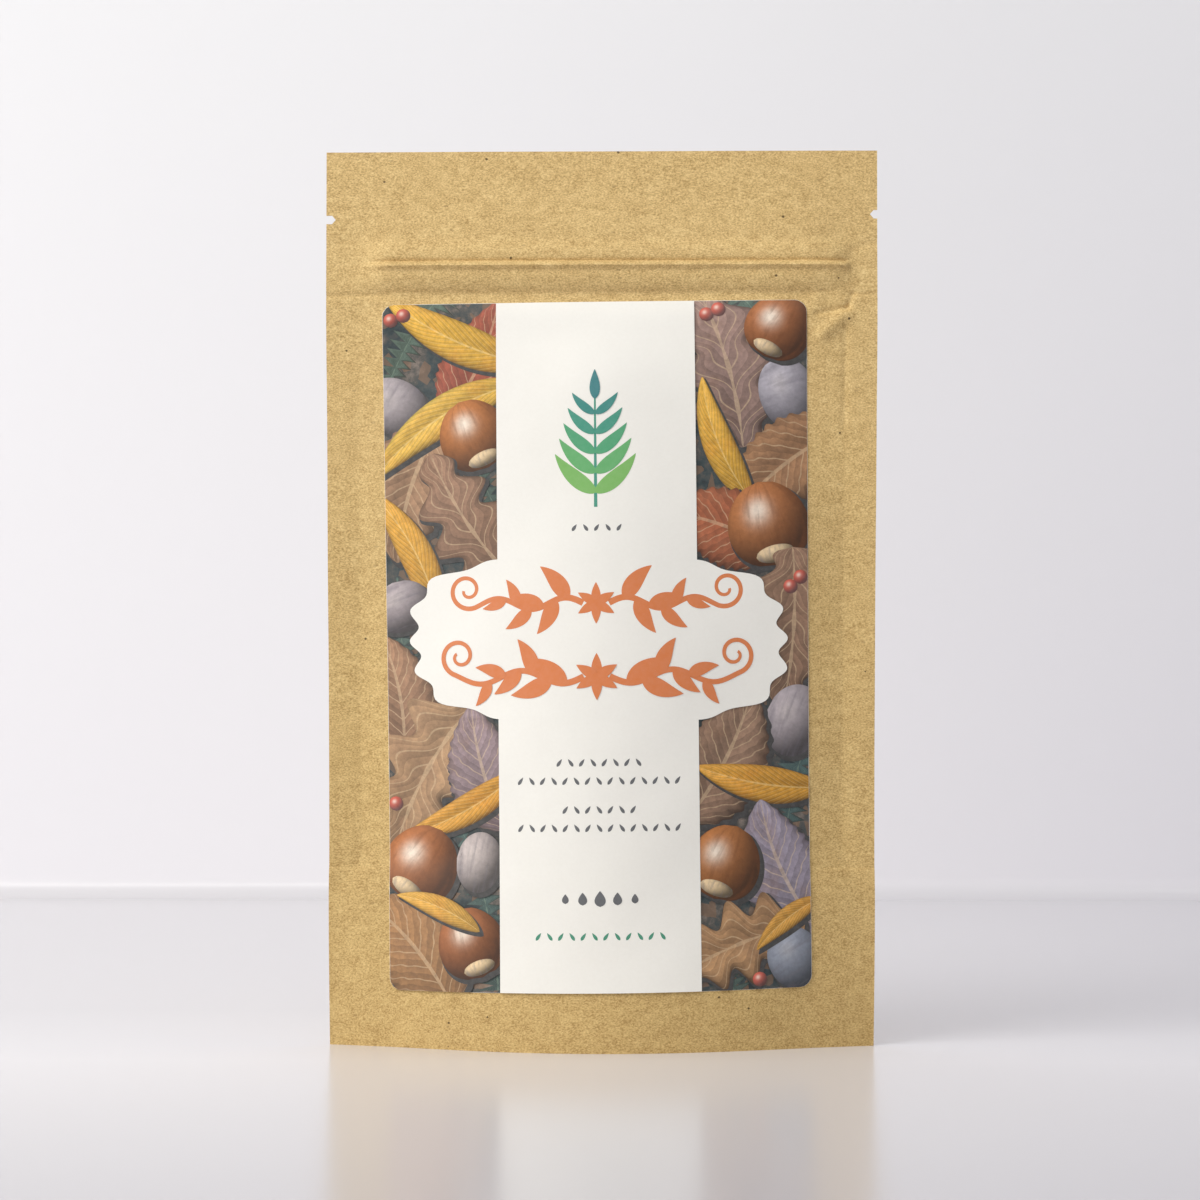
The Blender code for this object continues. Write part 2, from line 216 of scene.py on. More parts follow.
# %% [markdown]
# ## Relief of the paper
# What makes a pouch look real is small: the zip's ridge pressed through the paper, the flat
# welded sides, the step where four layers become two, soft waves in the sheet, and a few
# pinched creases at the corners where flat paper meets the full belly. Each is a formula of
# the place on the sheet, so the relief is real geometry and not only shading.

# %% Relief formulas
ZIP_LEFT, ZIP_RIGHT = -54.5, 58.2
ZIP_RIDGE = 182.85
RIDGE_HEIGHT, RIDGE_WIDTH = 0.95, 0.62
GROOVE_DEPTH, GROOVE_WIDTH, GROOVE_RISE = 0.42, 0.5, 1.1
RIM_DEPTH, RIM_DROP = 0.80, 6.7
GUSSET_FOLD = 41.5
APART = 0.5


def plateau(value, rise, fall):
    """1 between two soft slopes and 0 outside, each slope given as where it starts and ends."""
    return smooth_step(value, *rise) * (1.0 - smooth_step(value, *fall))


def waves(along, height, count, shortest, longest, swing, seed):
    """Sum of soft waves that run in all directions, the same each time."""
    draw = random.Random(seed)
    total = np.zeros_like(along)
    for _ in range(count):
        heading = draw.uniform(0.0, math.pi)
        length = draw.uniform(shortest, longest)
        turn = draw.uniform(0.0, 2 * math.pi)
        run = along * math.cos(heading) + height * math.sin(heading)
        total += np.sin(2 * math.pi * run / length + turn) * length / longest
    return total * swing / math.sqrt(count)


def crease(along, height, start, end, depth, width):
    """Ridge (or, with a negative depth, groove) along a short line, fading past its ends."""
    way = np.subtract(end, start)
    share = ((along - start[0]) * way[0] + (height - start[1]) * way[1]) / way.dot(way)
    held = np.clip(share, 0.0, 1.0)
    gap = np.hypot(along - start[0] - held * way[0], height - start[1] - held * way[1])
    return depth * np.exp(-(gap / width) ** 2)


def dent(along, height, centre, spread, depth):
    across, up = (along - centre[0]) / spread[0], (height - centre[1]) / spread[1]
    return depth * np.exp(-(across ** 2) - up ** 2)


def zip_relief(along, height):
    """Flanges lift the paper, the locked profile raises a ridge, the lower rim leaves a hollow."""
    soft = plateau(along, (ZIP_LEFT - 6.0, ZIP_LEFT + 4.0), (ZIP_RIGHT - 4.0, ZIP_RIGHT + 2.0))
    crisp = plateau(along, (ZIP_LEFT - 3.0, ZIP_LEFT + 5.0), (ZIP_RIGHT - 0.5, ZIP_RIGHT + 0.2))
    rise = height - ZIP_RIDGE
    flange = plateau(rise, (-6.5, -1.9), (2.7, 7.1))
    ridge = RIDGE_HEIGHT * np.exp(-((rise / RIDGE_WIDTH) ** 2))
    groove = GROOVE_DEPTH * np.exp(-(((rise - GROOVE_RISE) / GROOVE_WIDTH) ** 2))
    under = rise + RIM_DROP
    hollow = RIM_DEPTH * np.exp(-((under / np.where(under > 0.0, 1.3, 3.4)) ** 2))
    return soft * flange + crisp * (ridge - groove) - hollow * (0.12 + 0.88 * soft)


def held_apart(along, height):
    """The closed zip inside keeps the sheets a little apart, up to the sealed top edge."""
    middle = 1.0 - smooth_step(np.abs(along), 49.0, SEAL_INNER)
    return APART * middle * plateau(height, (150.0, 174.0), (188.0, 199.0))


def layer_step(along, height):
    """Below the base's fold the side welds hold four layers instead of two."""
    at_seal = smooth_step(np.abs(along), SEAL_INNER - 9.0, SEAL_INNER)
    return 2.2 * SHEET * at_seal * (1.0 - smooth_step(height, GUSSET_FOLD - 0.8, GUSSET_FOLD - 0.1))


print("zip ridge stands", round(float(zip_relief(0.0, ZIP_RIDGE)), 2), "mm")

# %% [markdown]
# The creases of the front are placed where a filled pouch pinches: both upper corners, just
# under the zip, where the stiff zip strip ends and the belly begins. The back gets softer
# ones of its own, because no two sides of a pouch crumple alike. In the welds both sheets
# crease as one, so those lines and a slight cockle shift the middle surface of the pouch.

# %% Creases
FRONT_CREASES = (
    ((-54.5, 174.6), (-47.0, 174.0), 0.34, 0.9),
    ((52.2, 166.8), (57.4, 171.0), 0.80, 1.7),
    ((51.0, 175.6), (56.5, 176.0), 0.40, 1.5),
)
FRONT_DENTS = (
    ((-52.0, 170.0), (6.0, 5.0), 0.22),
    ((0.0, 168.0), (30.0, 7.0), -0.20),
)
WELD_CREASES = (
    ((-66.0, 175.9), (-50.0, 176.2), 0.30, 0.6),
    ((57.5, 176.2), (66.0, 176.0), 0.26, 0.55),
    ((50.9, 171.5), (58.0, 172.9), 0.60, 0.8),
    ((59.4, 176.4), (57.8, 172.6), 0.42, 0.6),
    ((57.6, 171.0), (57.4, 145.0), 0.22, 0.8),
    ((60.0, 183.0), (66.0, 182.2), 0.12, 0.5),
    ((59.0, 186.6), (65.0, 188.6), 0.20, 0.9),
    ((58.5, 180.8), (58.6, 185.2), 0.12, 0.45),
    ((-66.0, 187.0), (-57.0, 190.0), 0.12, 1.2),
)
BACK_CREASES = (
    ((-57.0, 175.5), (-49.0, 171.5), -0.30, 0.8),
    ((57.0, 174.5), (50.5, 169.0), -0.26, 0.8),
    ((-30.0, 150.0), (-12.0, 143.0), -0.14, 2.4),
    ((20.0, 60.0), (41.0, 49.0), -0.16, 2.6),
)
BACK_DENTS = (
    ((18.0, 128.0), (16.0, 10.0), -0.5),
    ((-24.0, 96.0), (14.0, 12.0), 0.4),
    ((10.0, 56.0), (20.0, 12.0), 0.3),
)

# %% [markdown]
# The rule is worked out once on a fine table for each side: x by adding up how far each small
# step of paper reaches across, depth from the belly and the relief. Any piece that lies on
# the pouch, such as the label and its print, then reads its place from the same table.

# %% Table of the sheets
TABLE_ALONG = np.linspace(-HALF_WIDTH, HALF_WIDTH, 521)
TABLE_UP = np.linspace(0.0, HEIGHT, 841)
along_table, up_table = np.meshgrid(TABLE_ALONG, TABLE_UP)


def belly_table():
    """The belly stands on the side welds, with a sharp edge from the base's fold upwards."""
    fullness = smooth_step(up_table, 0.0, FULLNESS_HEIGHT)
    fullness = BASE_FULLNESS + (BELLY_FULLNESS - BASE_FULLNESS) * fullness
    across = np.cos(0.5 * math.pi * along_table / HALF_WIDTH).clip(0.0, 1.0)
    at_weld = math.cos(0.5 * math.pi * SEAL_INNER / HALF_WIDTH) ** fullness
    at_weld = at_weld * smooth_step(up_table, *WELD_EDGE)
    return belly_depth(up_table) * np.maximum(across ** fullness - at_weld, 0.0) / (1.0 - at_weld)


def freedom_table():
    """How freely the paper may wave: less beside the welds, in the header and at the base."""
    free = 0.25 + 0.75 * smooth_step(HALF_WIDTH - np.abs(along_table), 6.0, 20.0)
    free = free * (0.35 + 0.65 * (1.0 - smooth_step(up_table, 176.0, 190.0)))
    return free * (0.3 + 0.7 * smooth_step(up_table, 0.0, 14.0))


def sheet_table(creases, dents, seed):
    """Place across and distance from the centre plane, for every step along and up."""
    place_at = (along_table, up_table)
    belly, free = belly_table(), freedom_table()
    slope = np.gradient(belly, TABLE_ALONG, axis=1)
    steps = np.sqrt(np.maximum(1.0 - GIVE * slope ** 2, 0.0))
    runs = 0.5 * (steps[:, 1:] + steps[:, :-1]) * np.diff(TABLE_ALONG)
    place = np.concatenate((np.zeros((len(TABLE_UP), 1)), np.cumsum(runs, axis=1)), axis=1)
    place -= place[:, place.shape[1] // 2][:, None]
    relief = free * waves(*place_at, 22, 16.0, 60.0, 0.30, seed)
    relief += free * waves(*place_at, 26, 5.0, 12.0, 0.02, seed + 1)
    relief += zip_relief(*place_at) + held_apart(*place_at) + layer_step(*place_at)
    relief += sum(crease(*place_at, *values) for values in creases)
    relief += sum(dent(*place_at, *values) for values in dents)
    return place, np.maximum(belly + relief, 0.0) + BOND


def middle_table():
    """How far welds and header stray from the flat middle plane, away from the viewer."""
    at_weld = smooth_step(np.abs(along_table), 46.0, 60.0) * smooth_step(up_table, 55.0, 100.0)
    in_header = smooth_step(up_table, 172.0, 200.0)
    stray = at_weld * waves(0.3 * along_table, up_table, 8, 30.0, 80.0, 0.5, 31)
    stray += in_header * waves(along_table, 0.6 * up_table, 6, 60.0, 130.0, 0.5, 37)
    return stray + sum(crease(along_table, up_table, *values) for values in WELD_CREASES)


middle = middle_table()
sheet_tables = {
    "front": sheet_table(FRONT_CREASES, FRONT_DENTS, 11),
    "back": sheet_table(BACK_CREASES, BACK_DENTS, 23),
}


def look_up(table, along, up):
    """Reads a table between its steps."""
    column = np.clip((along + HALF_WIDTH) / (2 * HALF_WIDTH), 0.0, 1.0) * (len(TABLE_ALONG) - 1)
    row = np.clip(up / HEIGHT, 0.0, 1.0) * (len(TABLE_UP) - 1)
    left = np.minimum(column.astype(int), len(TABLE_ALONG) - 2)
    low = np.minimum(row.astype(int), len(TABLE_UP) - 2)
    across, rise = column - left, row - low
    lower = table[low, left] * (1 - across) + table[low, left + 1] * across
    upper = table[low + 1, left] * (1 - across) + table[low + 1, left + 1] * across
    return lower * (1 - rise) + upper * rise


def on_sheet(side, along, up, lift=0.0):
    """Points in metres of the given side's sheet, lifted off its inner face."""
    place, depth = sheet_tables[side]
    facing = -1.0 if side == "front" else 1.0
    x = look_up(place, along, up)
    y = look_up(middle, along, up) + facing * (look_up(depth, along, up) + lift)
    return np.stack((x, y, up), axis=1) * MM


print("front sheet reaches", round(float(sheet_tables["front"][1].max()), 2), "mm from the middle")

# %% [markdown]
# ## Materials
# One function adds a node with its settings and links, and one turns the hex colour that a
# designer would quote into the linear numbers that a shader works with.

# %% Helpers for materials
def colour(code):
    """Linear colour of an sRGB hex code."""
    parts = [int(code[place:place + 2], 16) / 255 for place in (0, 2, 4)]
    linear = [part / 12.92 if part <= 0.04045 else ((part + 0.055) / 1.055) ** 2.4 for part in parts]
    return (*linear, 1.0)


def node(tree, kind, inputs=(), out=0, stops=(), **settings):
    """Adds a shader node and returns one of its outputs.

    A kind in capitals is an operation of the Math node, and Mix mixes colours. Inputs are
    sockets, numbers or hex colours, in order or each with its name or number. Stops belong
    to a colour ramp: each is a place from 0 to 1 and a hex colour.
    """
    if kind.isupper():
        kind, settings["operation"] = "Math", kind
    if kind == "Mix":
        out, settings["data_type"] = 2, "RGBA"
    made = tree.nodes.new("ShaderNode" + kind)
    for name, value in settings.items():
        setattr(made, name, value)
    for name, value in inputs.items() if isinstance(inputs, dict) else enumerate(inputs):
        if isinstance(value, bpy.types.NodeSocket):
            tree.links.new(value, made.inputs[name])
        else:
            made.inputs[name].default_value = colour(value) if isinstance(value, str) else value
    for _ in stops[2:]:
        made.color_ramp.elements.new(0.5)
    for element, (place, code) in zip(made.color_ramp.elements if stops else (), stops):
        element.position, element.color = place, colour(code)
    return made.outputs[out]


def new_material(name, roughness, ior):
    """Material with its own constants, and the node function for its tree."""
    material = bpy.data.materials.new(name)
    material.use_nodes = True
    shader = material.node_tree.nodes["Principled BSDF"]
    shader.inputs["Roughness"].default_value = roughness
    shader.inputs["IOR"].default_value = ior
    return material, functools.partial(node, material.node_tree)


def feed(material, paint, bump=None):
    """Links the finished colour and bump to the material's shader."""
    shader = material.node_tree.nodes["Principled BSDF"]
    material.node_tree.links.new(paint, shader.inputs["Base Color"])
    if bump:
        material.node_tree.links.new(bump, shader.inputs["Normal"])
    return material


def tinted(add, paint, *layers, blend="MIX"):
    """Lays tints over a colour, each with the mask that places it and its strength."""
    for mask, strength, tint in layers:
        share = add("MULTIPLY", (mask, strength))
        paint = add("Mix", {0: share, 6: paint, 7: tint}, blend_type=blend)
    return paint


def per_metre(size_mm):
    """Pattern scale that gives features of about this size, on coordinates in metres."""
    return 1.0 / (size_mm * MM)


def grain(place, size_mm, detail=2.0, roughness=0.5):
    """Inputs of a noise with features of about this size."""
    return {"Vector": place, "Scale": per_metre(size_mm), "Detail": detail, "Roughness": roughness}


# %% [markdown]
# ### Kraft paper
# Kraft is unbleached softwood pulp: warm tan, matte, and grainy where fibres lie thicker. The
# fibres lie mostly along the web, so the fine grain is noise stretched sideways, at well under
# a millimetre. Larger clouds give the uneven formation of the sheet. Rare dark specks are
# shives, bits of bark that survive pulping, so they come from cells of which few are chosen.
# Toward the base the colour is darker: painted shade, for light that fades down the pouch.

# %% Kraft paper
def specks(add, place, cell_mm, size, rarity, stretch):
    """Mask of small dots, one in some of the cells of a flat cell pattern."""
    flat = add("Mapping", {"Vector": place, "Scale": (stretch, 0.05, 1.0)})
    gap = add("TexVoronoi", {"Vector": flat, "Scale": per_metre(cell_mm)}, "Distance")
    chance = add("SeparateColor", (gap.node.outputs["Color"],))
    grown = add("ADD", (chance.node.outputs[1], 0.3))
    reach = add("MULTIPLY", (size, grown))
    near = add("LESS_THAN", (gap, reach))
    chosen = add("GREATER_THAN", (chance, rarity))
    return add("MULTIPLY", (near, chosen))


def kraft_paper(name, light, middle, dark):
    material, add = new_material(name, 0.74, 1.46)
    place = add("TexCoord", out="Object")
    fibres = add("Mapping", {"Vector": place, "Scale": (0.62, 1.0, 1.0)})
    fine = add("TexNoise", grain(fibres, 0.30, 2.0, 0.7))
    clouds = add("TexNoise", grain(fibres, 2.2, 5.0, 0.7))
    broad = add("TexNoise", grain(place, 38.0))
    tone = add("MULTIPLY", (fine, 0.70))
    tone = add("MULTIPLY_ADD", (clouds, 0.30, tone))
    paint = add("ValToRGB", (tone,), stops=((0.36, dark), (0.50, middle), (0.64, light)))
    # Painted shade: the colour darkens towards the base, where less light falls.
    painted_low_shade = add("MapRange", (add("SeparateXYZ", (place,), 2), 0.16, 0.0))
    faint = specks(add, place, 2.2, 0.09, 0.62, 0.5)
    dark_specks = specks(add, place, 4.4, 0.052, 0.38, 0.9)
    paint = tinted(
        add, paint, (broad, 0.20, "BE9B62"), (faint, 0.32, "80623A"), (dark_specks, 0.85, "4B3719"))
    paint = tinted(add, paint, (painted_low_shade, 0.42, "D4CCB5"), blend="MULTIPLY")
    bump = add("Bump", {"Height": fine, "Strength": 0.5, "Distance": 0.12 * MM})
    return feed(material, paint, bump)


kraft = kraft_paper("Kraft laminate, calendered outside", "F1D597", "D6B67A", "AB8B53")
kraft_inside = kraft_paper("Kraft laminate, folded base", "DABA7D", "C3A267", "9D7B44")

# %% [markdown]
# ### Label paper and inks
# The label is smooth coated paper, brighter and a little glossier than kraft. Its print is
# built from thin shapes of ink in layers. Ink takes the gloss of its paper, so the inks differ
# in colour only: each motif carries its shaded tint as a colour attribute, and its UV map
# runs along and across it, so veins and streaks follow the motif wherever it turns.

# %% Label paper
def coated_paper(name, code, shade):
    material, add = new_material(name, 0.42, 1.5)
    place = add("TexCoord", out="Object")
    laid = add("TexNoise", grain(place, 0.7, 3.0))
    clouds = add("TexNoise", grain(place, 12.0))
    tone = add("MULTIPLY_ADD", (clouds, 0.5, laid))
    tone = add("MULTIPLY", (tone, 0.55))
    bump = add("Bump", {"Height": laid, "Strength": 0.1, "Distance": 0.04 * MM})
    return feed(material, add("Mix", {0: tone, 6: code, 7: shade}), bump)


white_paper = coated_paper("Coated label paper", "F6F4ED", "EDEAE2")

# %% Printed inks
def ink_base(name):
    """New ink, with the tint that a motif carries and its UV place across and along it."""
    material, add = new_material(name, 0.42, 1.5)
    across = add("SeparateXYZ", (add("TexCoord", out="UV"),))
    tint = add("Attribute", out="Color", attribute_name="tint")
    return material, add, tint, across, across.node.outputs[1]


def mottle(add):
    """Fine noise, like the grain of a printed photograph."""
    return add("TexNoise", grain(add("TexCoord", out="Object"), 1.3, 5.0, 0.7))


def mottled(add, body, amount):
    """Lightens and darkens a colour by the mottle."""
    swing = add("SUBTRACT", (mottle(add), 0.5))
    swing = add("MULTIPLY_ADD", (swing, amount, 1.0))
    grey = add("CombineColor", (swing, swing, swing))
    return add("Mix", {0: 1.0, 6: body, 7: grey}, blend_type="MULTIPLY")


def leaf_ink(name, vein_count, vein_tint, strength, blotch_tint, blotch_mm):
    """Leaf: fine midrib, slanting veins with pillowy panels between, blotches and dark margin."""
    material, add, tint, across, up = ink_base(name)
    off = add("SUBTRACT", (across, 0.5))
    off = add("MULTIPLY", (off, 2.0))
    off = add("ABSOLUTE", (off,))
    run = add("MULTIPLY", (up, vein_count))
    run = add("MULTIPLY_ADD", (off, -0.28 * vein_count, run))
    panel = add("FRACT", (run,))
    vein = add("SUBTRACT", (panel, 0.5))
    vein = add("ABSOLUTE", (vein,))
    vein, rib = (add("LESS_THAN", (line, 0.045)) for line in (vein, off))
    blotch = add("TexNoise", grain(add("TexCoord", out="Object"), blotch_mm, 6.0, 0.65))
    blotch = add("MapRange", (blotch, 0.5, 0.5 + 1 / 3))
    vein, margin = add("MAXIMUM", (vein, rib)), add("POWER", (off, 6.0))
    body = tinted(
        add, tint, (panel, 0.30, "2E2018"), (blotch, 0.6, blotch_tint), (vein, strength, vein_tint),
        (margin, 0.5, "33231A"),
    )
    return feed(material, mottled(add, body, 1.1))


def streaked_ink(name, streak_tint, along_count, across_count, amount):
    """Smooth rounded thing with fine streaks along it, as on a chestnut or a banded pebble."""
    material, add, tint, across, up = ink_base(name)
    run = add("CombineXYZ", (add("MULTIPLY", (across, across_count)), add("MULTIPLY", (up, along_count))))
    lines = add("TexNoise", {"Vector": run, "Scale": 1.0, "Detail": 4.0, "Distortion": 0.4})
    streak = add("MapRange", (lines, 0.48, 0.73))
    return feed(material, mottled(add, tinted(add, tint, (streak, amount, streak_tint)), 0.7))


def plain_ink(name, mottling):
    """Flat colour from the press, with the slight unevenness of ink on coated paper."""
    material, add = new_material(name, 0.42, 1.5)
    tint = add("Attribute", out="Color", attribute_name="tint")
    return feed(material, tinted(add, tint, (mottle(add), mottling, "FFFFFF")))


def ground_ink():
    """Dark forest floor between the motifs: slate, moss and peat, with bits of litter."""
    material, add = new_material("Ground print ink", 0.42, 1.5)
    place = add("TexCoord", out="Object")
    soil = add("TexNoise", grain(place, 6.0, 7.0, 0.72))
    floor = add("ValToRGB", (soil,), stops=(
        (0.32, "24292B"), (0.46, "3A4648"), (0.56, "57544F"), (0.68, "85796F")))
    litter = add("TexVoronoi", {"Vector": place, "Scale": per_metre(2.4)}, "Color")
    bits = add("GREATER_THAN", (add("SeparateColor", (litter,)), 0.78))
    return feed(material, tinted(add, floor, (bits, 0.5, "8A6A50")))


inks = {
    "broad": leaf_ink("Broad leaf print ink", 8.0, "E2C6A0", 0.34, "8C6A52", 7.0),
    "golden": leaf_ink("Golden leaf print ink", 15.0, "FFE9A8", 0.30, "D98A2B", 9.0),
    "fern": leaf_ink("Fern print ink", 26.0, "8FA38E", 0.3, "33453F", 3.0),
    "chestnut": streaked_ink("Chestnut print ink", "6E3F1E", 2.0, 9.0, 0.55),
    "pebble": streaked_ink("Pebble print ink", "6F6A72", 9.0, 1.2, 0.6),
    "flat": plain_ink("Flat print ink", 0.10),
}
ground_print = ground_ink()
print("materials:", len(bpy.data.materials))

# %% [markdown]
# ## Front and back sheets
# Each sheet starts as a flat grid, as a blank cut from the roll. Its lines lie closer together
# at the side welds, the zip and the base's fold, where the relief is finest. The notches are
# punched while it is flat, by bisecting the few faces round each and deleting what lies inside.
# Only then does the rule bend the sheet, and Solidify gives it the laminate's thickness.

# %% Blank and notches
SHEET_COLUMNS, SHEET_ROWS = 164, 284
SIDE_BANDS = ((-65.0, -52.0, 1.1), (52.0, 65.0, 1.1))
FOLD_BANDS = ((40.5, 42.5, 2.2), (167.0, 188.0, 2.2))
BAND_MARGIN = 4.0
NOTCHES = ((-1, 194.0, 2.2), (1, 195.0, 1.7))
NOTCH_HALF, NOTCH_SLANT, NOTCH_ROOM = 1.02, 0.85, 1.5


def crowd(places, low, high, bands):
    """Moves even rows or columns so that they crowd together in some bands."""
    levels = np.linspace(low, high, 2101)
    density = np.ones_like(levels)
    for start, end, times in bands:
        density += times * plateau(levels, (start - BAND_MARGIN, start), (end, end + BAND_MARGIN))
    reach = np.concatenate(([0.0], np.cumsum(0.5 * (density[1:] + density[:-1]))))
    return np.interp((places - low) / (high - low), reach / reach[-1], levels)


def punch_notch(blank, side, level, depth):
    """Cuts the outline of a notch into the faces near it, then deletes what lies inside."""
    tip = HALF_WIDTH - depth

    def close(centre):
        return side * centre[0] > tip - NOTCH_ROOM and abs(centre[1] - level) < NOTCH_HALF + NOTCH_ROOM

    def inside(centre):
        out = side * centre[0] - tip
        return out > 0 and abs(centre[1] - level) < NOTCH_HALF * min(out / NOTCH_SLANT, 1.0)

    slope = Vector((NOTCH_HALF, NOTCH_SLANT)).normalized()
    for point, normal in (
        ((0.0, level + NOTCH_HALF), (0.0, 1.0)),
        ((0.0, level - NOTCH_HALF), (0.0, 1.0)),
        ((side * tip, level), (side * slope[0], -slope[1])),
        ((side * tip, level), (side * slope[0], slope[1])),
    ):
        select_faces(blank, close)
        cut_line(point, normal, trim=False)
    select_faces(blank, inside)
    with edit_mode():
        bpy.ops.mesh.delete(type="FACE")


def make_sheet(side):
    blank = add_grid(side + "_sheet", SHEET_COLUMNS, SHEET_ROWS, 1.0, 1.0)
    points = read_points(blank)
    points[:, 0] = crowd(2 * HALF_WIDTH * points[:, 0], -HALF_WIDTH, HALF_WIDTH, SIDE_BANDS)
    points[:, 1] = crowd(HEIGHT * (points[:, 1] + 0.5), 0.0, HEIGHT, FOLD_BANDS)
    write_points(blank, points)
    for notch in NOTCHES:
        punch_notch(blank, *notch)
    points = read_points(blank)
    write_points(blank, on_sheet(side, points[:, 0], points[:, 1]))
    if side == "back":
        turn_over(blank)
    thicken(blank, SHEET, 1.0)
    finish_piece(blank, kraft, side + "_panel")


# %% Front and back
for side in ("front", "back"):
    make_sheet(side)

# %% [markdown]
# ## Folded base
# The base is one sheet folded once. Its two legs are welded to the panels along a curve that
# is low in the middle and climbs to the fold at both side seals, and between the welds the
# sheet arches. Here a flat grid is bent leg by leg: the first part of each leg hugs its
# panel, the rest follows a quarter of an oval up to the fold.

# %% Folded base
SEAL_LOW, LEAST_RISE, ARCH = 6.0, 2.0, 1.7
WELDED_SHARE = 0.35
LAYER, LEAST_OPENING, EDGE_GAP = 0.06, 0.02, 0.1


def leg_point(along, share):
    """Depth and height at a share of the way from the lower edge (0) to the fold (1)."""
    climb = np.minimum(np.abs(along) / SEAL_INNER, 1.0) ** 3
    seal_top = SEAL_LOW + (GUSSET_FOLD - LEAST_RISE - SEAL_LOW) * climb
    depths = [look_up(depth, along, seal_top) for _, depth in sheet_tables.values()]
    spread = np.minimum(*depths) - SHEET - LAYER
    free = GUSSET_FOLD - seal_top
    rise = np.sqrt(np.maximum(free ** 2 - ARCH * spread ** 2, LEAST_RISE ** 2))
    welded = np.minimum(share / WELDED_SHARE, 1.0)
    angle = 0.5 * math.pi * np.clip((share - WELDED_SHARE) / (1.0 - WELDED_SHARE), 0.0, 1.0)
    return spread * np.cos(angle), seal_top * welded + rise * np.sin(angle)


base_sheet = add_grid("base_sheet", 128, 96, 2 * (HALF_WIDTH - EDGE_GAP), 2.0)
along, leg, _ = read_points(base_sheet).T
leg_share = 1.0 - np.abs(leg)
arch_depth, base_height = leg_point(along, leg_share)
front_room, back_room = (
    look_up(depth, along, base_height) - SHEET / 2 - LAYER for _, depth in sheet_tables.values()
)
room = np.where(leg < 0, front_room, back_room)
depth = np.where(leg_share <= WELDED_SHARE, room, np.minimum(arch_depth + SHEET / 2, room))
depth = np.where(leg_share > 0.999, 0.0, np.maximum(depth, SHEET / 2 + LEAST_OPENING))
x = look_up(sheet_tables["front"][0], along, base_height)
write_points(base_sheet, np.stack((x, np.where(leg < 0, -depth, depth), base_height), axis=1) * MM)
thicken(base_sheet, SHEET, 0.0)
write_points(base_sheet, np.maximum(read_points(base_sheet), (-np.inf, -np.inf, 0.0)))
finish_piece(base_sheet, kraft_inside, "bottom_gusset")
print("fold of the base stands", round(float(base_height.max()), 1), "mm high")

# %% [markdown]
# ## Label
# The label is a rectangle with rounded corners, stuck on a little askew. It is laid out flat,
# as a printer would, with x to the right and y up from its centre. The corners are rounded by
# bisecting along tangents of the corner circle. One function then sticks any flat piece to
# the pouch, at a given height above the kraft.

# %% Sticking flat pieces on
LABEL_WIDTH, LABEL_HEIGHT, LABEL_RADIUS = 100.0, 160.6, 3.0
LABEL_CENTRE = (-0.9, 93.9)
LABEL_TURN = math.radians(0.58)
LABEL_SHEET = 0.12
LABEL_LIFT = SHEET + BOND
PAPER_STEP = 0.012
INK_LIFT = LABEL_LIFT + LABEL_SHEET + PAPER_STEP
CORNER_CUTS = 4


def stick_on(target, lift):
    """Bends a flat piece onto the front. Its own z, in mm, adds to the lift."""
    x, y, level = read_points(target).T
    along = LABEL_CENTRE[0] + x * math.cos(LABEL_TURN) - y * math.sin(LABEL_TURN)
    up = LABEL_CENTRE[1] + x * math.sin(LABEL_TURN) + y * math.cos(LABEL_TURN)
    write_points(target, on_sheet("front", along, up, lift + level))


def trim_to_label(target, inset=0.0):
    """Cuts away what sticks out past the label's edges and rounded corners."""
    half_width, half_height = (LABEL_WIDTH - inset) / 2, (LABEL_HEIGHT - inset) / 2
    radius = LABEL_RADIUS - inset / 2
    lines = [((half_width, 0), (1, 0)), ((-half_width, 0), (-1, 0))]
    lines += [((0, half_height), (0, 1)), ((0, -half_height), (0, -1))]
    for step in range(4 * CORNER_CUTS):
        angle = (step + 0.5) * math.pi / 2 / CORNER_CUTS
        way = np.array((math.cos(angle), math.sin(angle)))
        middle = np.copysign((half_width - radius, half_height - radius), way)
        lines.append((middle + radius * way, way))
    select_only(target)
    for point, normal in lines:
        cut_line(point, normal, trim=True)


label_sheet = add_grid("label_sheet", 110, 176, LABEL_WIDTH, LABEL_HEIGHT)
trim_to_label(label_sheet)
stick_on(label_sheet, LABEL_LIFT)
thicken(label_sheet, LABEL_SHEET, 1.0)
finish_piece(label_sheet, white_paper, "label")

# %% [markdown]
# ## Printed picture
# Both side fields show a generic autumn forest floor: brown and golden leaves, ferns,
# chestnuts and pebbles on dark ground. Every motif is a small grid laid along a spine, with
# its outline given by a formula. As in a painted still life, each gets a made-up roundness,
# from which its light, shade and gleam are worked out for one light at the upper left.

# %% Motif maker
LAYER_STEP = 0.009
LIGHT_WAY = Vector((-0.48, 0.52, 0.71)).normalized()
GLEAM_WAY = (LIGHT_WAY + Vector((0.0, 0.0, 1.0))).normalized()
GLEAM_TINT, GLEAM_POWER = np.array((1.0, 0.9, 0.76)), 26
laid_motifs = []


def arc_spine(place, turn, length, bend=0.0, count=41):
    """Points of an arc of given length round its middle, heading turn degrees from up."""
    heading = math.radians(turn) + bend * np.linspace(-0.5, 0.5, count - 1)
    steps = np.stack((-np.sin(heading), np.cos(heading)), axis=1) * length / (count - 1)
    points = np.concatenate((np.zeros((1, 2)), np.cumsum(steps, axis=0)))
    return points - points[count // 2] + place


def next_layer(spine, width):
    """A motif lies one layer above the highest one that it may touch."""
    centre, reach = spine.mean(axis=0), np.ptp(spine, axis=0).max() / 2 + width / 2
    below = [0]
    for other, other_reach, layer in laid_motifs:
        if np.hypot(*(centre - other)) < reach + other_reach:
            below.append(layer)
    laid_motifs.append((centre, reach, max(below) + 1))
    return max(below) + 1


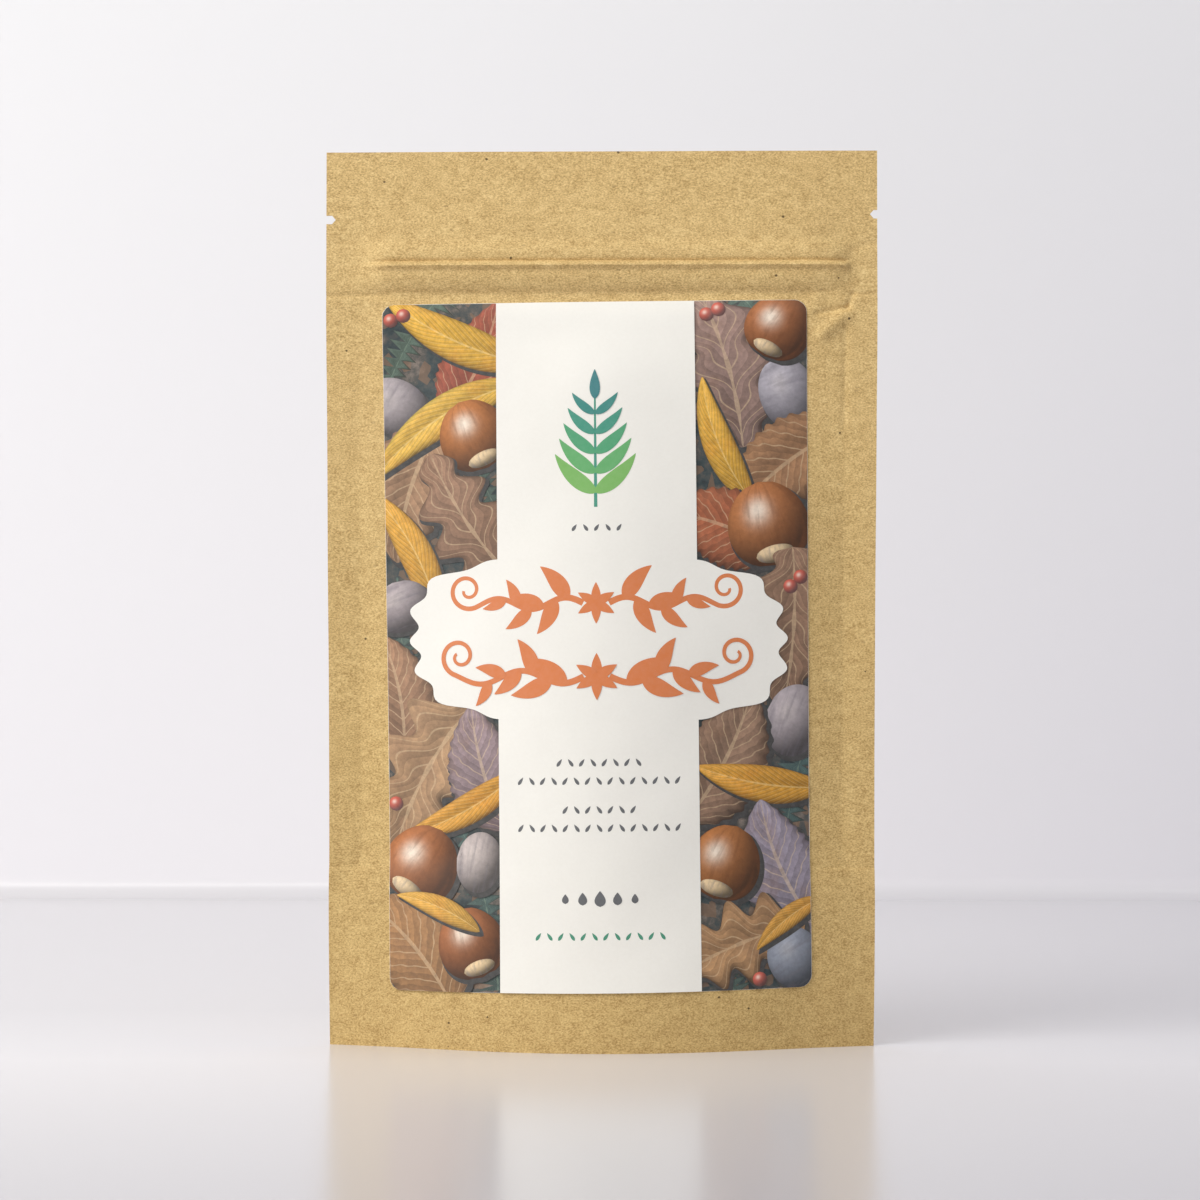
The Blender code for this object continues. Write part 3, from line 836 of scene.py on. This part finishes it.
def roundness(form, across, share):
    """Made-up surface tilt across and along a motif."""
    along = 2 * share - 1
    if form == "ball":
        return 0.93 * across * np.sqrt(np.clip(1 - along ** 2, 0, 1)), 0.93 * along
    if form == "leaf":
        return 0.85 * across * np.abs(across) - 0.26 * np.tanh(7 * across), 0.35 * along
    return np.zeros_like(across), np.zeros_like(share)


def lay_motif(name, columns, rows, spine, width, outline, tint, form="flat", gloss=0.0):
    """Flat motif along a spine: its outline gives half its width for each share of the way."""
    motif = copy_grid(name, columns, rows)
    points = read_points(motif)
    across, share = points[:, 0] * 2.0, points[:, 1] + 0.5
    way = np.gradient(spine, axis=0)
    way /= np.hypot(*way.T)[:, None]
    steps = np.linspace(0.0, 1.0, len(spine))
    way_x, way_y, x, y = (np.interp(share, steps, values) for values in (*way.T, *spine.T))
    out = across * outline(share) * width / 2
    level = np.full_like(x, next_layer(spine, width) * LAYER_STEP)
    write_points(motif, np.stack((x + way_y * out, y - way_x * out, level), axis=1))
    over, on = roundness(form, across, share)
    tilt_x, tilt_y = over * way_y + on * way_x, on * way_y - over * way_x
    facing = np.sqrt(np.clip(1.0 - tilt_x ** 2 - tilt_y ** 2, 0.0, 1.0))
    normals = np.stack((tilt_x, tilt_y, facing), axis=1)
    light, gleam = (np.clip(normals @ np.array(way), 0.0, 1.0) for way in (LIGHT_WAY, GLEAM_WAY))
    shade = (1.0 if form == "flat" else 0.16 + 1.14 * light ** 1.5) * np.ones_like(x)
    shine = (gloss * gleam ** GLEAM_POWER)[:, None]
    shown = np.array(colour(tint)[:3]) * shade[:, None] * (1 - shine) + shine * GLEAM_TINT
    values = np.concatenate((np.clip(shown, 0.0, 1.0), np.ones((len(x), 1))), axis=1)
    tints = motif.data.attributes.new("tint", "FLOAT_COLOR", "POINT")
    tints.data.foreach_set("color", values.ravel())
    return motif


# %% Outlines
def broad_leaf(share):
    """Pointed oval, widest below the middle, with a fine toothed edge."""
    return np.sin(math.pi * share ** 0.8) ** 0.75 * (1.0 + 0.05 * np.sin(share * 78.0)) + 0.02


def lobed_leaf(share):
    """Rounded lobes on both sides of a narrow body, as on an oak."""
    return np.sin(math.pi * share ** 0.75) ** 0.6 * (0.76 + 0.26 * np.cos(share * 27.0)) + 0.02


def narrow_leaf(share):
    """Long smooth lens, as on a willow."""
    return np.sin(math.pi * share ** 0.85) ** 0.8 + 0.02


def fern_leaf(share):
    """Comb of small leaflets that shorten to the tip."""
    teeth = np.abs((share * 19.0) % 1.0 - 0.5) * 2.0
    return (1.0 - share) ** 0.6 * (0.12 + 0.88 * teeth) + 0.02


def full_round(share):
    return np.sqrt(np.clip(1.0 - (2.0 * share - 1.0) ** 2, 0.0, 1.0)) + 0.005


def chestnut_round(share):
    """Nearly round, drawn out to a small point at the top."""
    return full_round(share ** 0.92) * (1.0 - 0.10 * share)


# %% [markdown]
# The layout is set as a collage: what it is, where its middle lies on the label, its
# turn in degrees, length, width, tint and bend. What comes later lies on top. Dark gaps
# matter as much as the leaves, because they give the picture its depth.

# %% Layout of the side fields
KINDS = {
    "fern": (fern_leaf, 6, 152, "leaf", 0.0, "fern"),
    "broad": (broad_leaf, 18, 64, "leaf", 0.0, "broad"),
    "lobed": (lobed_leaf, 18, 72, "leaf", 0.0, "broad"),
    "golden": (narrow_leaf, 14, 64, "leaf", 0.05, "golden"),
    "chestnut": (chestnut_round, 22, 26, "ball", 0.85, "chestnut"),
    "scar": (full_round, 10, 18, "ball", 0.05, "pebble"),
    "pebble": (full_round, 20, 24, "ball", 0.15, "pebble"),
    "berry": (full_round, 10, 14, "ball", 0.7, "flat"),
}
FLOOR = (
    ("fern", -44, 71, 150, 40, 13, "63776A", 0.4),
    ("fern", -28, 42, -160, 38, 12, "5A6F66", 0.5),
    ("fern", -46, -2, 10, 36, 12, "5C7068", -0.4),
    ("fern", -27, -58, 15, 44, 13, "58706C", 0.4),
    ("broad", -27, 66, -24, 31, 17, "B4604A", 0.5),
    ("pebble", -47, 56, 60, 17, 13, "B0A6A8"),
    ("golden", -33, 71.5, 64, 40, 9.5, "F4BE46", -0.5),
    ("broad", -44, 36, 162, 34, 21, "B48E6E", 0.5),
    ("golden", -37, 53, 122, 44, 9, "F6C552", 0.7),
    ("chestnut", -28.5, 49, 24, 17, 17.5, "B2703C"),
    ("lobed", -30, 28, 34, 38, 22, "A37F66", -0.4),
    ("golden", -43, 22, 28, 36, 8, "EDB040", 0.6),
    ("pebble", -46.5, 9, 20, 12, 15, "A79C9E"),
    ("broad", -47, -12, 10, 30, 17, "AE8668", 0.5),
    ("lobed", -41, -30, 150, 42, 27, "C09A74", 0.5),
    ("broad", -27, -29, 16, 30, 17, "A38E92", -0.4),
    ("golden", -31, -38.5, 118, 34, 7, "E9A83C", -0.5),
    ("chestnut", -42, -51, -32, 18.5, 19, "A9683A"),
    ("pebble", -28, -50.5, 80, 11, 14, "B9ADA9"),
    ("broad", -44, -70, 42, 34, 20, "B98A5C", 0.5),
    ("chestnut", -30, -69, 20, 16.5, 17, "9E6138"),
    ("golden", -37.5, -61, 68, 22, 5.4, "F0B74C", 0.5),
    ("fern", 44, 68, -150, 42, 13, "5D7268", -0.4),
    ("fern", 30, 14, 12, 40, 12, "556C68", 0.4),
    ("fern", 45, -40, 170, 44, 13, "4F6867", 0.4),
    ("fern", 28, -74, 30, 30, 12, "5B716A", 0.4),
    ("lobed", 31, 66, 16, 42, 26, "AB8D82", 0.4),
    ("pebble", 45.5, 58, 20, 18, 13.5, "A9A4AC"),
    ("broad", 44, 41, 128, 34, 19, "B38660", 0.5),
    ("golden", 29, 46, 22, 33, 7.5, "F2BA44", -0.6),
    ("chestnut", 43.5, 74, -28, 16, 16.5, "A4663C"),
    ("broad", 30, 27, 70, 30, 18, "BC6F4C", 0.5),
    ("chestnut", 40.5, 27.5, 14, 20, 20.5, "AF7042"),
    ("lobed", 46.5, 3, 176, 38, 23, "9C7B64", -0.3),
    ("pebble", 46.5, -18.5, 70, 14, 17, "A99FA2"),
    ("broad", 30, -27, -28, 34, 20, "A3836C", 0.4),
    ("golden", 38, -33, 80, 32, 8.5, "EBAA3A", -0.4),
    ("broad", 43, -53, 24, 34, 19, "A59BAA", -0.5),
    ("chestnut", 29.5, -51, -20, 17.5, 18, "B0713E"),
    ("lobed", 32, -70, 110, 34, 20, "C0956A", 0.4),
    ("pebble", 46, -73.5, 30, 15, 13, "8F95A2"),
    ("golden", 44, -64.5, 126, 20, 5, "E5A844", 0.5),
)
BERRIES = (
    (-48, 76.5), (-45, 77.6), (-25, 14), (-48.3, -37), (26.4, 77), (29.2, 78.2),
    (48.2, 15), (45.8, 12.8), (26, -8), (37.4, -78),
)

# %% Side fields
printed = {"printed_ground": (ground_print, [
    add_grid("ground", 34, 176, 29.0, LABEL_HEIGHT, (side * 36.5, 0.0)) for side in (-1, 1)
])}
for ink, material in inks.items():
    printed["printed_" + ink] = (material, [])


SHADOW_SHIFT, SHADOW_LENGTH, SHADOW_WIDTH, SHADOW_TINT = (0.7, -0.8), 1.03, 1.05, "1B1714"
SCAR_PLACE, SCAR_TINT = 0.36, "D8BE96"
BERRY_SIZE, BERRY_TINT = 3.4, "C24A30"


def lay_kind(kind, x, y, turn, length, width, tint, bend=0.0):
    """Lays one motif, over a thin dark contact shadow, and a pale scar on each chestnut."""
    outline, columns, rows, form, gloss, ink = KINDS[kind]
    if kind not in ("fern", "scar", "berry"):
        below = (x + SHADOW_SHIFT[0], y + SHADOW_SHIFT[1])
        shadow = arc_spine(below, turn, length * SHADOW_LENGTH, bend)
        printed["printed_flat"][1].append(
            lay_motif("shadow", columns, rows, shadow, width * SHADOW_WIDTH, outline, SHADOW_TINT))
    spine = arc_spine((x, y), turn, length, bend)
    printed["printed_" + ink][1].append(
        lay_motif(kind, columns, rows, spine, width, outline, tint, form, gloss))
    if kind == "chestnut":
        way, out = math.radians(turn), length * SCAR_PLACE
        foot = (x + math.sin(way) * out, y - math.cos(way) * out)
        lay_kind("scar", *foot, turn + 90, width * 0.46, length * 0.2, SCAR_TINT)


for entry in FLOOR:
    lay_kind(*entry)
for x, y in BERRIES:
    lay_kind("berry", x, y, 0, BERRY_SIZE, BERRY_SIZE, BERRY_TINT)
picture_top = max(layer for _, _, layer in laid_motifs) * LAYER_STEP
print("motifs:", len(laid_motifs), "stack in mm:", round(picture_top, 3))

# %% [markdown]
# ## Centre band, plaque and ornaments
# A white band runs down the middle of the label, and a white plaque with a wavy edge lies
# across it. Both carry plain ornaments: a green sprig, two leafy garlands on the plaque, and
# rows of small strokes. The same motif maker lays them, along spines that wave or curl, with
# solid ink.

# %% Band and plaque
BAND_LEVEL, PLAQUE_LEVEL = picture_top + PAPER_STEP, picture_top + 2 * PAPER_STEP
BAND_WIDTH = 46.6
PLAQUE_CENTRE = np.array((0.3, 0.8))
PLAQUE_SIZE = np.array((85.0, 38.0))
PLAQUE_SQUARENESS, PLAQUE_LOBES = 3.4, 18

centre_band = add_grid("centre_band", 60, 190, BAND_WIDTH, LABEL_HEIGHT, (0.25, 0.0), BAND_LEVEL)
plaque = add_grid("white_plaque", 100, 64, 2.0, 2.0)
square = read_points(plaque)[:, :2]
disc = square * np.sqrt(1.0 - square[:, ::-1] ** 2 / 2.0)
angle = np.arctan2(disc[:, 1], disc[:, 0])
way = np.stack((np.cos(angle), np.sin(angle)), axis=1)
reach = np.hypot(*disc.T) * (np.abs(way) ** PLAQUE_SQUARENESS).sum(axis=1) ** (-1.0 / PLAQUE_SQUARENESS)
lobes = 1.0 + 0.028 * np.cos(PLAQUE_LOBES * angle) + 0.03 * np.cos(2.0 * angle + 0.6)
outline = PLAQUE_CENTRE + PLAQUE_SIZE / 2 * way * (reach * lobes)[:, None]
write_points(plaque, np.column_stack((outline, np.full(len(outline), PLAQUE_LEVEL))))

# %% Brush strokes
TERRACOTTA, GREY, TEAL = "D87633", "56585B", "2F8A6B"
LEAVES_EACH_SIDE, LEAF_SPACE, LEAF_SPREAD = 6, 7, 42
CURL_RADIUS, CURL_TURNS, STEM_START = 4.4, 1.3, 3.0
ornament_pieces = []
laid_motifs.clear()


def drop(share):
    """Leaf-shaped brush stroke, full near its foot."""
    return np.sin(math.pi * share ** 0.7) ** 0.9 + 0.02


def tapered(share):
    """Line that starts full and thins to its end."""
    return 1.0 - 0.55 * share


def brush(name, spine, width, outline, tint, columns, rows):
    ornament_pieces.append(lay_motif(name, columns, rows, spine, width, outline, tint))


def leaf_from(foot, lean, length, share_width, tint, bend=0.0):
    """Leaf that grows from its foot, lean degrees from upright."""
    way = math.radians(lean)
    middle = (foot[0] - math.sin(way) * length / 2, foot[1] + math.cos(way) * length / 2)
    brush("leaf", arc_spine(middle, lean, length, bend), length * share_width, drop, tint, 8, 22)


def garland(centre_y, reach, hand, swing, leaf_length, tint):
    """Half a garland: a stem that waves outwards and ends in a curl, with alternate leaves."""
    share = np.linspace(0.0, 1.0, 61)
    stem_x = hand * (STEM_START + (reach - STEM_START) * share)
    stem_y = centre_y + swing * np.sin(share * 3.2 * math.pi)
    stem = np.stack((stem_x, stem_y), axis=1)
    headings = np.arctan2(np.diff(stem_y), np.diff(stem_x))
    turns = np.linspace(0.0, 1.0, 70)
    start = headings[-1] - hand * math.pi / 2
    angle = start + hand * turns * CURL_TURNS * 2 * math.pi
    radius = CURL_RADIUS * (1.0 - 0.8 * turns)
    curl = (radius * [np.cos(angle), np.sin(angle)]).T
    curl += stem[-1] - CURL_RADIUS * np.array((math.cos(start), math.sin(start)))
    brush("stem", np.concatenate((stem, curl[1:])), 1.5, tapered, tint, 4, 200)
    for step in range(LEAVES_EACH_SIDE):
        here = LEAF_SPACE * (1 + step)
        upward = -1 if step % 2 else 1
        lean = math.degrees(headings[here]) - 90 + hand * upward * LEAF_SPREAD
        leaf_from(stem[here], lean, leaf_length * (1.0 - 0.08 * step), 0.38, tint, -0.6 * hand * upward)


# %% Ornaments
for hand in (-1, 1):
    garland(9.2, 28.5, hand, 1.3, 10.2, TERRACOTTA)
    garland(-7.8, 34.0, hand, -1.5, 11.2, TERRACOTTA)
for centre_y, size in ((9.2, 4.8), (-7.8, 5.4)):
    for petal in range(6):
        leaf_from((0.0, centre_y), petal * 60.0, size, 0.44, TERRACOTTA)

SPRIG_GREENS = ("74B255", "58A961", "3E9D6B", "2A9077", "1C8279")
SPRIG_X, SPRIG_FOOT, SPRIG_STEP = 0.1, 34.2, 4.7
brush("sprig_stem", arc_spine((SPRIG_X, 45.5), 0, 28.0), 0.8, tapered, SPRIG_GREENS[3], 4, 30)
for step, tint in enumerate(SPRIG_GREENS):
    for hand in (-1, 1):
        foot = (SPRIG_X + 0.3 * hand, SPRIG_FOOT + step * SPRIG_STEP)
        leaf_from(foot, -hand * 47, 13.4 - 1.5 * step, 0.27, tint, 0.55 * hand)
leaf_from((SPRIG_X, SPRIG_FOOT + 5 * SPRIG_STEP - 0.8), 0, 7.0, 0.34, "17767A")

ROWS_X, STROKE_SPACE, BUD_SPACE = 0.3, 2.6, 4.0
STROKE_ROWS = (
    (26.7, 5, 1.9, GREY), (-27.6, 8, 2.1, GREY), (-31.8, 15, 2.1, GREY),
    (-38.4, 7, 2.1, GREY), (-42.6, 15, 2.1, GREY), (-67.4, 12, 2.1, TEAL),
)
for rise, count, size, tint in STROKE_ROWS:
    for step in range(count):
        place = (ROWS_X + (step - (count - 1) / 2) * STROKE_SPACE, rise)
        brush("stroke", arc_spine(place, 35 if step % 2 else -35, size), 0.75, drop, tint, 3, 8)
for step in range(-2, 3):
    size = 3.6 - abs(step) * 0.7
    brush("bud", arc_spine((ROWS_X + step * BUD_SPACE, -58.8), 0, size), size * 0.7, drop, GREY, 5, 12)

# %% Stick the print on
printed["centre_band"] = (white_paper, [centre_band])
printed["white_plaque"] = (white_paper, [plaque])
printed["printed_ornaments"] = (inks["flat"], ornament_pieces)
for name, (material, pieces) in printed.items():
    piece = join_pieces(name, pieces)
    if name == "printed_ornaments":
        write_points(piece, read_points(piece) + (0.0, 0.0, PLAQUE_LEVEL))
    elif name != "white_plaque":
        trim_to_label(piece, inset=0.1)
    stick_on(piece, INK_LIFT)
    finish_piece(piece, material, angle=180)
for template in templates.values():
    bpy.data.objects.remove(template)

# %% [markdown]
# ## Inside the pouch
# The zip strips and the dried mushrooms are shut in and don't show, but the part still holds
# them, so they get proper finishes. The strips are polyethylene: milky and waxy. The
# mushrooms are copies of the frame's solids, smoothed and then puckered like dried flesh.

# %% Zip strips
def polyethylene():
    material, add = new_material("Zip polyethylene", 0.38, 1.51)
    place = add("TexCoord", out="Object")
    haze = add("TexNoise", grain(place, 4.0))
    return feed(material, add("Mix", {0: haze, 6: "EEEEEA", 7: "DCDDD9"}))


zip_plastic = polyethylene()
FLANGE_BAND = (-4.7, 3.7, 0.09)
CHANNEL_HOOKS = ((-0.6, -0.35, 0.85), (0.35, 0.6, 0.85))
RIB = ((-0.15, 0.15, 0.85),)


def zip_strip(name, side, profile, replaced):
    """Flange that lies against its sheet, with ribs that reach towards the middle.

    Each band has its lower and upper level, measured from the ridge, and its thickness.
    """
    pieces = []
    for low, high, thickness in (FLANGE_BAND, *profile):
        centre = ((ZIP_LEFT + ZIP_RIGHT) / 2 - 0.3, ZIP_RIDGE + (low + high) / 2)
        strip = add_grid(name, 110, 12, ZIP_RIGHT - ZIP_LEFT - 1.6, high - low, centre)
        points = read_points(strip)
        write_points(strip, on_sheet(side, points[:, 0], points[:, 1], -0.02))
        if side == "back":
            turn_over(strip)
        thicken(strip, thickness, -1.0)
        pieces.append(strip)
    finish_piece(join_pieces(name, pieces), zip_plastic, replaced)


zip_strip("zip_channel_strip", "front", CHANNEL_HOOKS, "zip_channel")
zip_strip("zip_rib_strip", "back", RIB, "zip_rib")

# %% Dried mushrooms
def dried_flesh():
    material, add = new_material("Dried mushroom flesh", 0.85, 1.4)
    wrinkle = add("TexNoise", grain(add("TexCoord", out="Object"), 2.4, 6.0, 0.7))
    flesh = add("ValToRGB", (wrinkle,), stops=((0.3, "3A2A1C"), (0.5, "6B4A2C"), (0.7, "A87B45")))
    bump = add("Bump", {"Height": wrinkle, "Strength": 0.6, "Distance": 0.4 * MM})
    return feed(material, flesh, bump)


mushroom_flesh = dried_flesh()
for node_name in sorted(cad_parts):
    if not node_name.startswith("dried_mushroom"):
        continue
    piece = bpy.data.objects.new(node_name + "_flesh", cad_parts[node_name].data.copy())
    bpy.context.scene.collection.objects.link(piece)
    select_only(piece)
    with edit_mode():
        bpy.ops.mesh.select_all(action="SELECT")
        bpy.ops.mesh.remove_doubles(threshold=0.01 * MM)
    smoothing = piece.modifiers.new("Smoothing", "SUBSURF")
    smoothing.levels = smoothing.render_levels = 2
    bpy.ops.object.modifier_apply(modifier=smoothing.name)
    finish_piece(piece, mushroom_flesh, node_name, angle=180)

# %% [markdown]
# ## Backdrop, light and camera
# The pouch stands on a pale board that curves up into a pale wall, so that the horizon is only
# a soft line. The board is a little glossy and mirrors the pouch at this low angle. A large
# window-like light stands far on the left, a strip above shows up the relief, and the room's
# own light fills the shadows.

# %% Backdrop
BOARD_FRONT, BOARD_BACK, BACKDROP_SIDE, BACKDROP_TOP = -1.6, 0.436, 3.0, 3.0
COVE_RADIUS, COVE_ROWS, FLAT_ROWS = 0.009, 14, 10


def backdrop_paint():
    """Pale board and wall with painted light and shade: the board is lightest just in front of the pouch
    and darker towards the camera, the wall gets darker to the top, and a painted shadow darkens the lower
    right.
    """
    material, add = new_material("Lacquered pale board", 0.22, 1.45)
    place = add("TexCoord", out="Object")
    x = add("SeparateXYZ", (place,))
    y, z = x.node.outputs[1:]
    depth = add("MapRange", (y, -0.2, BOARD_BACK))
    rise = add("MapRange", (z, 0.0, 0.55))
    on_wall = add("MapRange", (z, 0.0, COVE_RADIUS), interpolation_type="SMOOTHSTEP")
    low = add("SUBTRACT", (1.0, rise))
    # Painted shadow of the pouch: the lower right of the wall and the right of the board are darker.
    painted_shadow_low_right = add("MULTIPLY", (add("MapRange", (x, -0.05, 0.25)), low))
    haze = add("TexNoise", grain(place, 200.0, 3.0))
    # Painted light and shade on the board: darker towards the camera, lightest just in front of the
    # pouch.
    board = add("ValToRGB", (depth,), stops=(
        (0.0, "C7C5C9"), (0.27, "E6E4E6"), (0.42, "DAD8DB"), (1.0, "DFDDE0")))
    # Painted shade on the wall: darker to the top.
    wall = add("Mix", {0: rise, 6: "F4F2F6", 7: "EAEBEC"})
    paint = add("Mix", {0: on_wall, 6: board, 7: wall})
    return feed(material, tinted(add, paint, (painted_shadow_low_right, 0.30, "CBC9D3"), (haze, 0.05, "CFCDD2")))


backdrop = add_grid("backdrop", 2, 2 * FLAT_ROWS + COVE_ROWS, 2 * BACKDROP_SIDE, 1.0, (0.0, 0.5))
points = read_points(backdrop)
rows = np.rint(points[:, 1] * (2 * FLAT_ROWS + COVE_ROWS))
on_board, on_cove, on_wall = (
    np.clip((rows - first) / count, 0.0, 1.0)
    for first, count in ((0, FLAT_ROWS), (FLAT_ROWS, COVE_ROWS), (FLAT_ROWS + COVE_ROWS, FLAT_ROWS))
)
quarter = on_cove * math.pi / 2
points[:, 1] = BOARD_FRONT + (BOARD_BACK - COVE_RADIUS - BOARD_FRONT) * on_board
points[:, 1] += COVE_RADIUS * np.sin(quarter)
points[:, 2] = COVE_RADIUS * (1.0 - np.cos(quarter)) + on_wall * BACKDROP_TOP
write_points(backdrop, points)
select_only(backdrop)
bpy.ops.object.shade_smooth()
backdrop.data.materials.append(backdrop_paint())
print("horizon line lies", BOARD_BACK, "m behind the pouch")

# %% Light
ROOM_LIGHT, ROOM_TINT = 0.45, "F4F5FA"
LIGHTS = (
    ("window_light", (-1.3, -0.9, 0.9), (0.0, 0.0, 0.15), (1.3, 1.3), 22.0, "FFFDF8"),
    ("strip_light", (-0.3, -0.5, 0.9), (0.0, 0.0, 0.16), (1.0, 0.3), 2.9, "FFFDF8"),
    ("wall_light", (0.6, 0.1, 1.0), (0.1, 0.436, 0.4), (0.5, 0.5), 1.0, "FFFFFF"),
)
for name, place, target, (width, height), power, tone in LIGHTS:
    bpy.ops.object.select_all(action="DESELECT")
    bpy.ops.object.light_add(type="AREA", location=place)
    light = bpy.context.object
    light.name = name
    light.data.shape = "RECTANGLE"
    light.data.size, light.data.size_y = width, height
    light.data.energy = power
    light.data.color = colour(tone)[:3]
    light.rotation_euler = (Vector(target) - Vector(place)).to_track_quat("-Z", "Y").to_euler()

world = bpy.data.worlds.new("room")
bpy.context.scene.world = world
world.use_nodes = True
room = world.node_tree.nodes["Background"]
room.inputs["Color"].default_value = colour(ROOM_TINT)
room.inputs["Strength"].default_value = ROOM_LIGHT
bpy.context.scene.view_settings.view_transform = "Standard"
print("lights:", len(LIGHTS))

# %% Camera
CAMERA_DISTANCE, CAMERA_HEIGHT, CAMERA_SIDE = 0.650, 0.0849, -0.00031
CAMERA_TURN, CAMERA_PITCH = math.radians(1.11), math.radians(1.69)
FOCAL_PIXELS, FRAME_PIXELS = 2766.9, 1200.0
SENSOR_MM = 36.0
camera_data = bpy.data.cameras.new("camera")
camera_data.sensor_width = SENSOR_MM
camera_data.lens = SENSOR_MM * FOCAL_PIXELS / FRAME_PIXELS
camera_data.clip_end = 20.0
camera = bpy.data.objects.new("camera", camera_data)
bpy.context.scene.collection.objects.link(camera)
back = Vector((CAMERA_SIDE, -CAMERA_DISTANCE, CAMERA_HEIGHT))
camera.location = Matrix.Rotation(CAMERA_TURN, 3, "Z") @ back
camera.rotation_euler = (math.radians(90) + CAMERA_PITCH, 0.0, CAMERA_TURN)
bpy.context.scene.camera = camera
print("lens in mm:", round(camera_data.lens, 1))
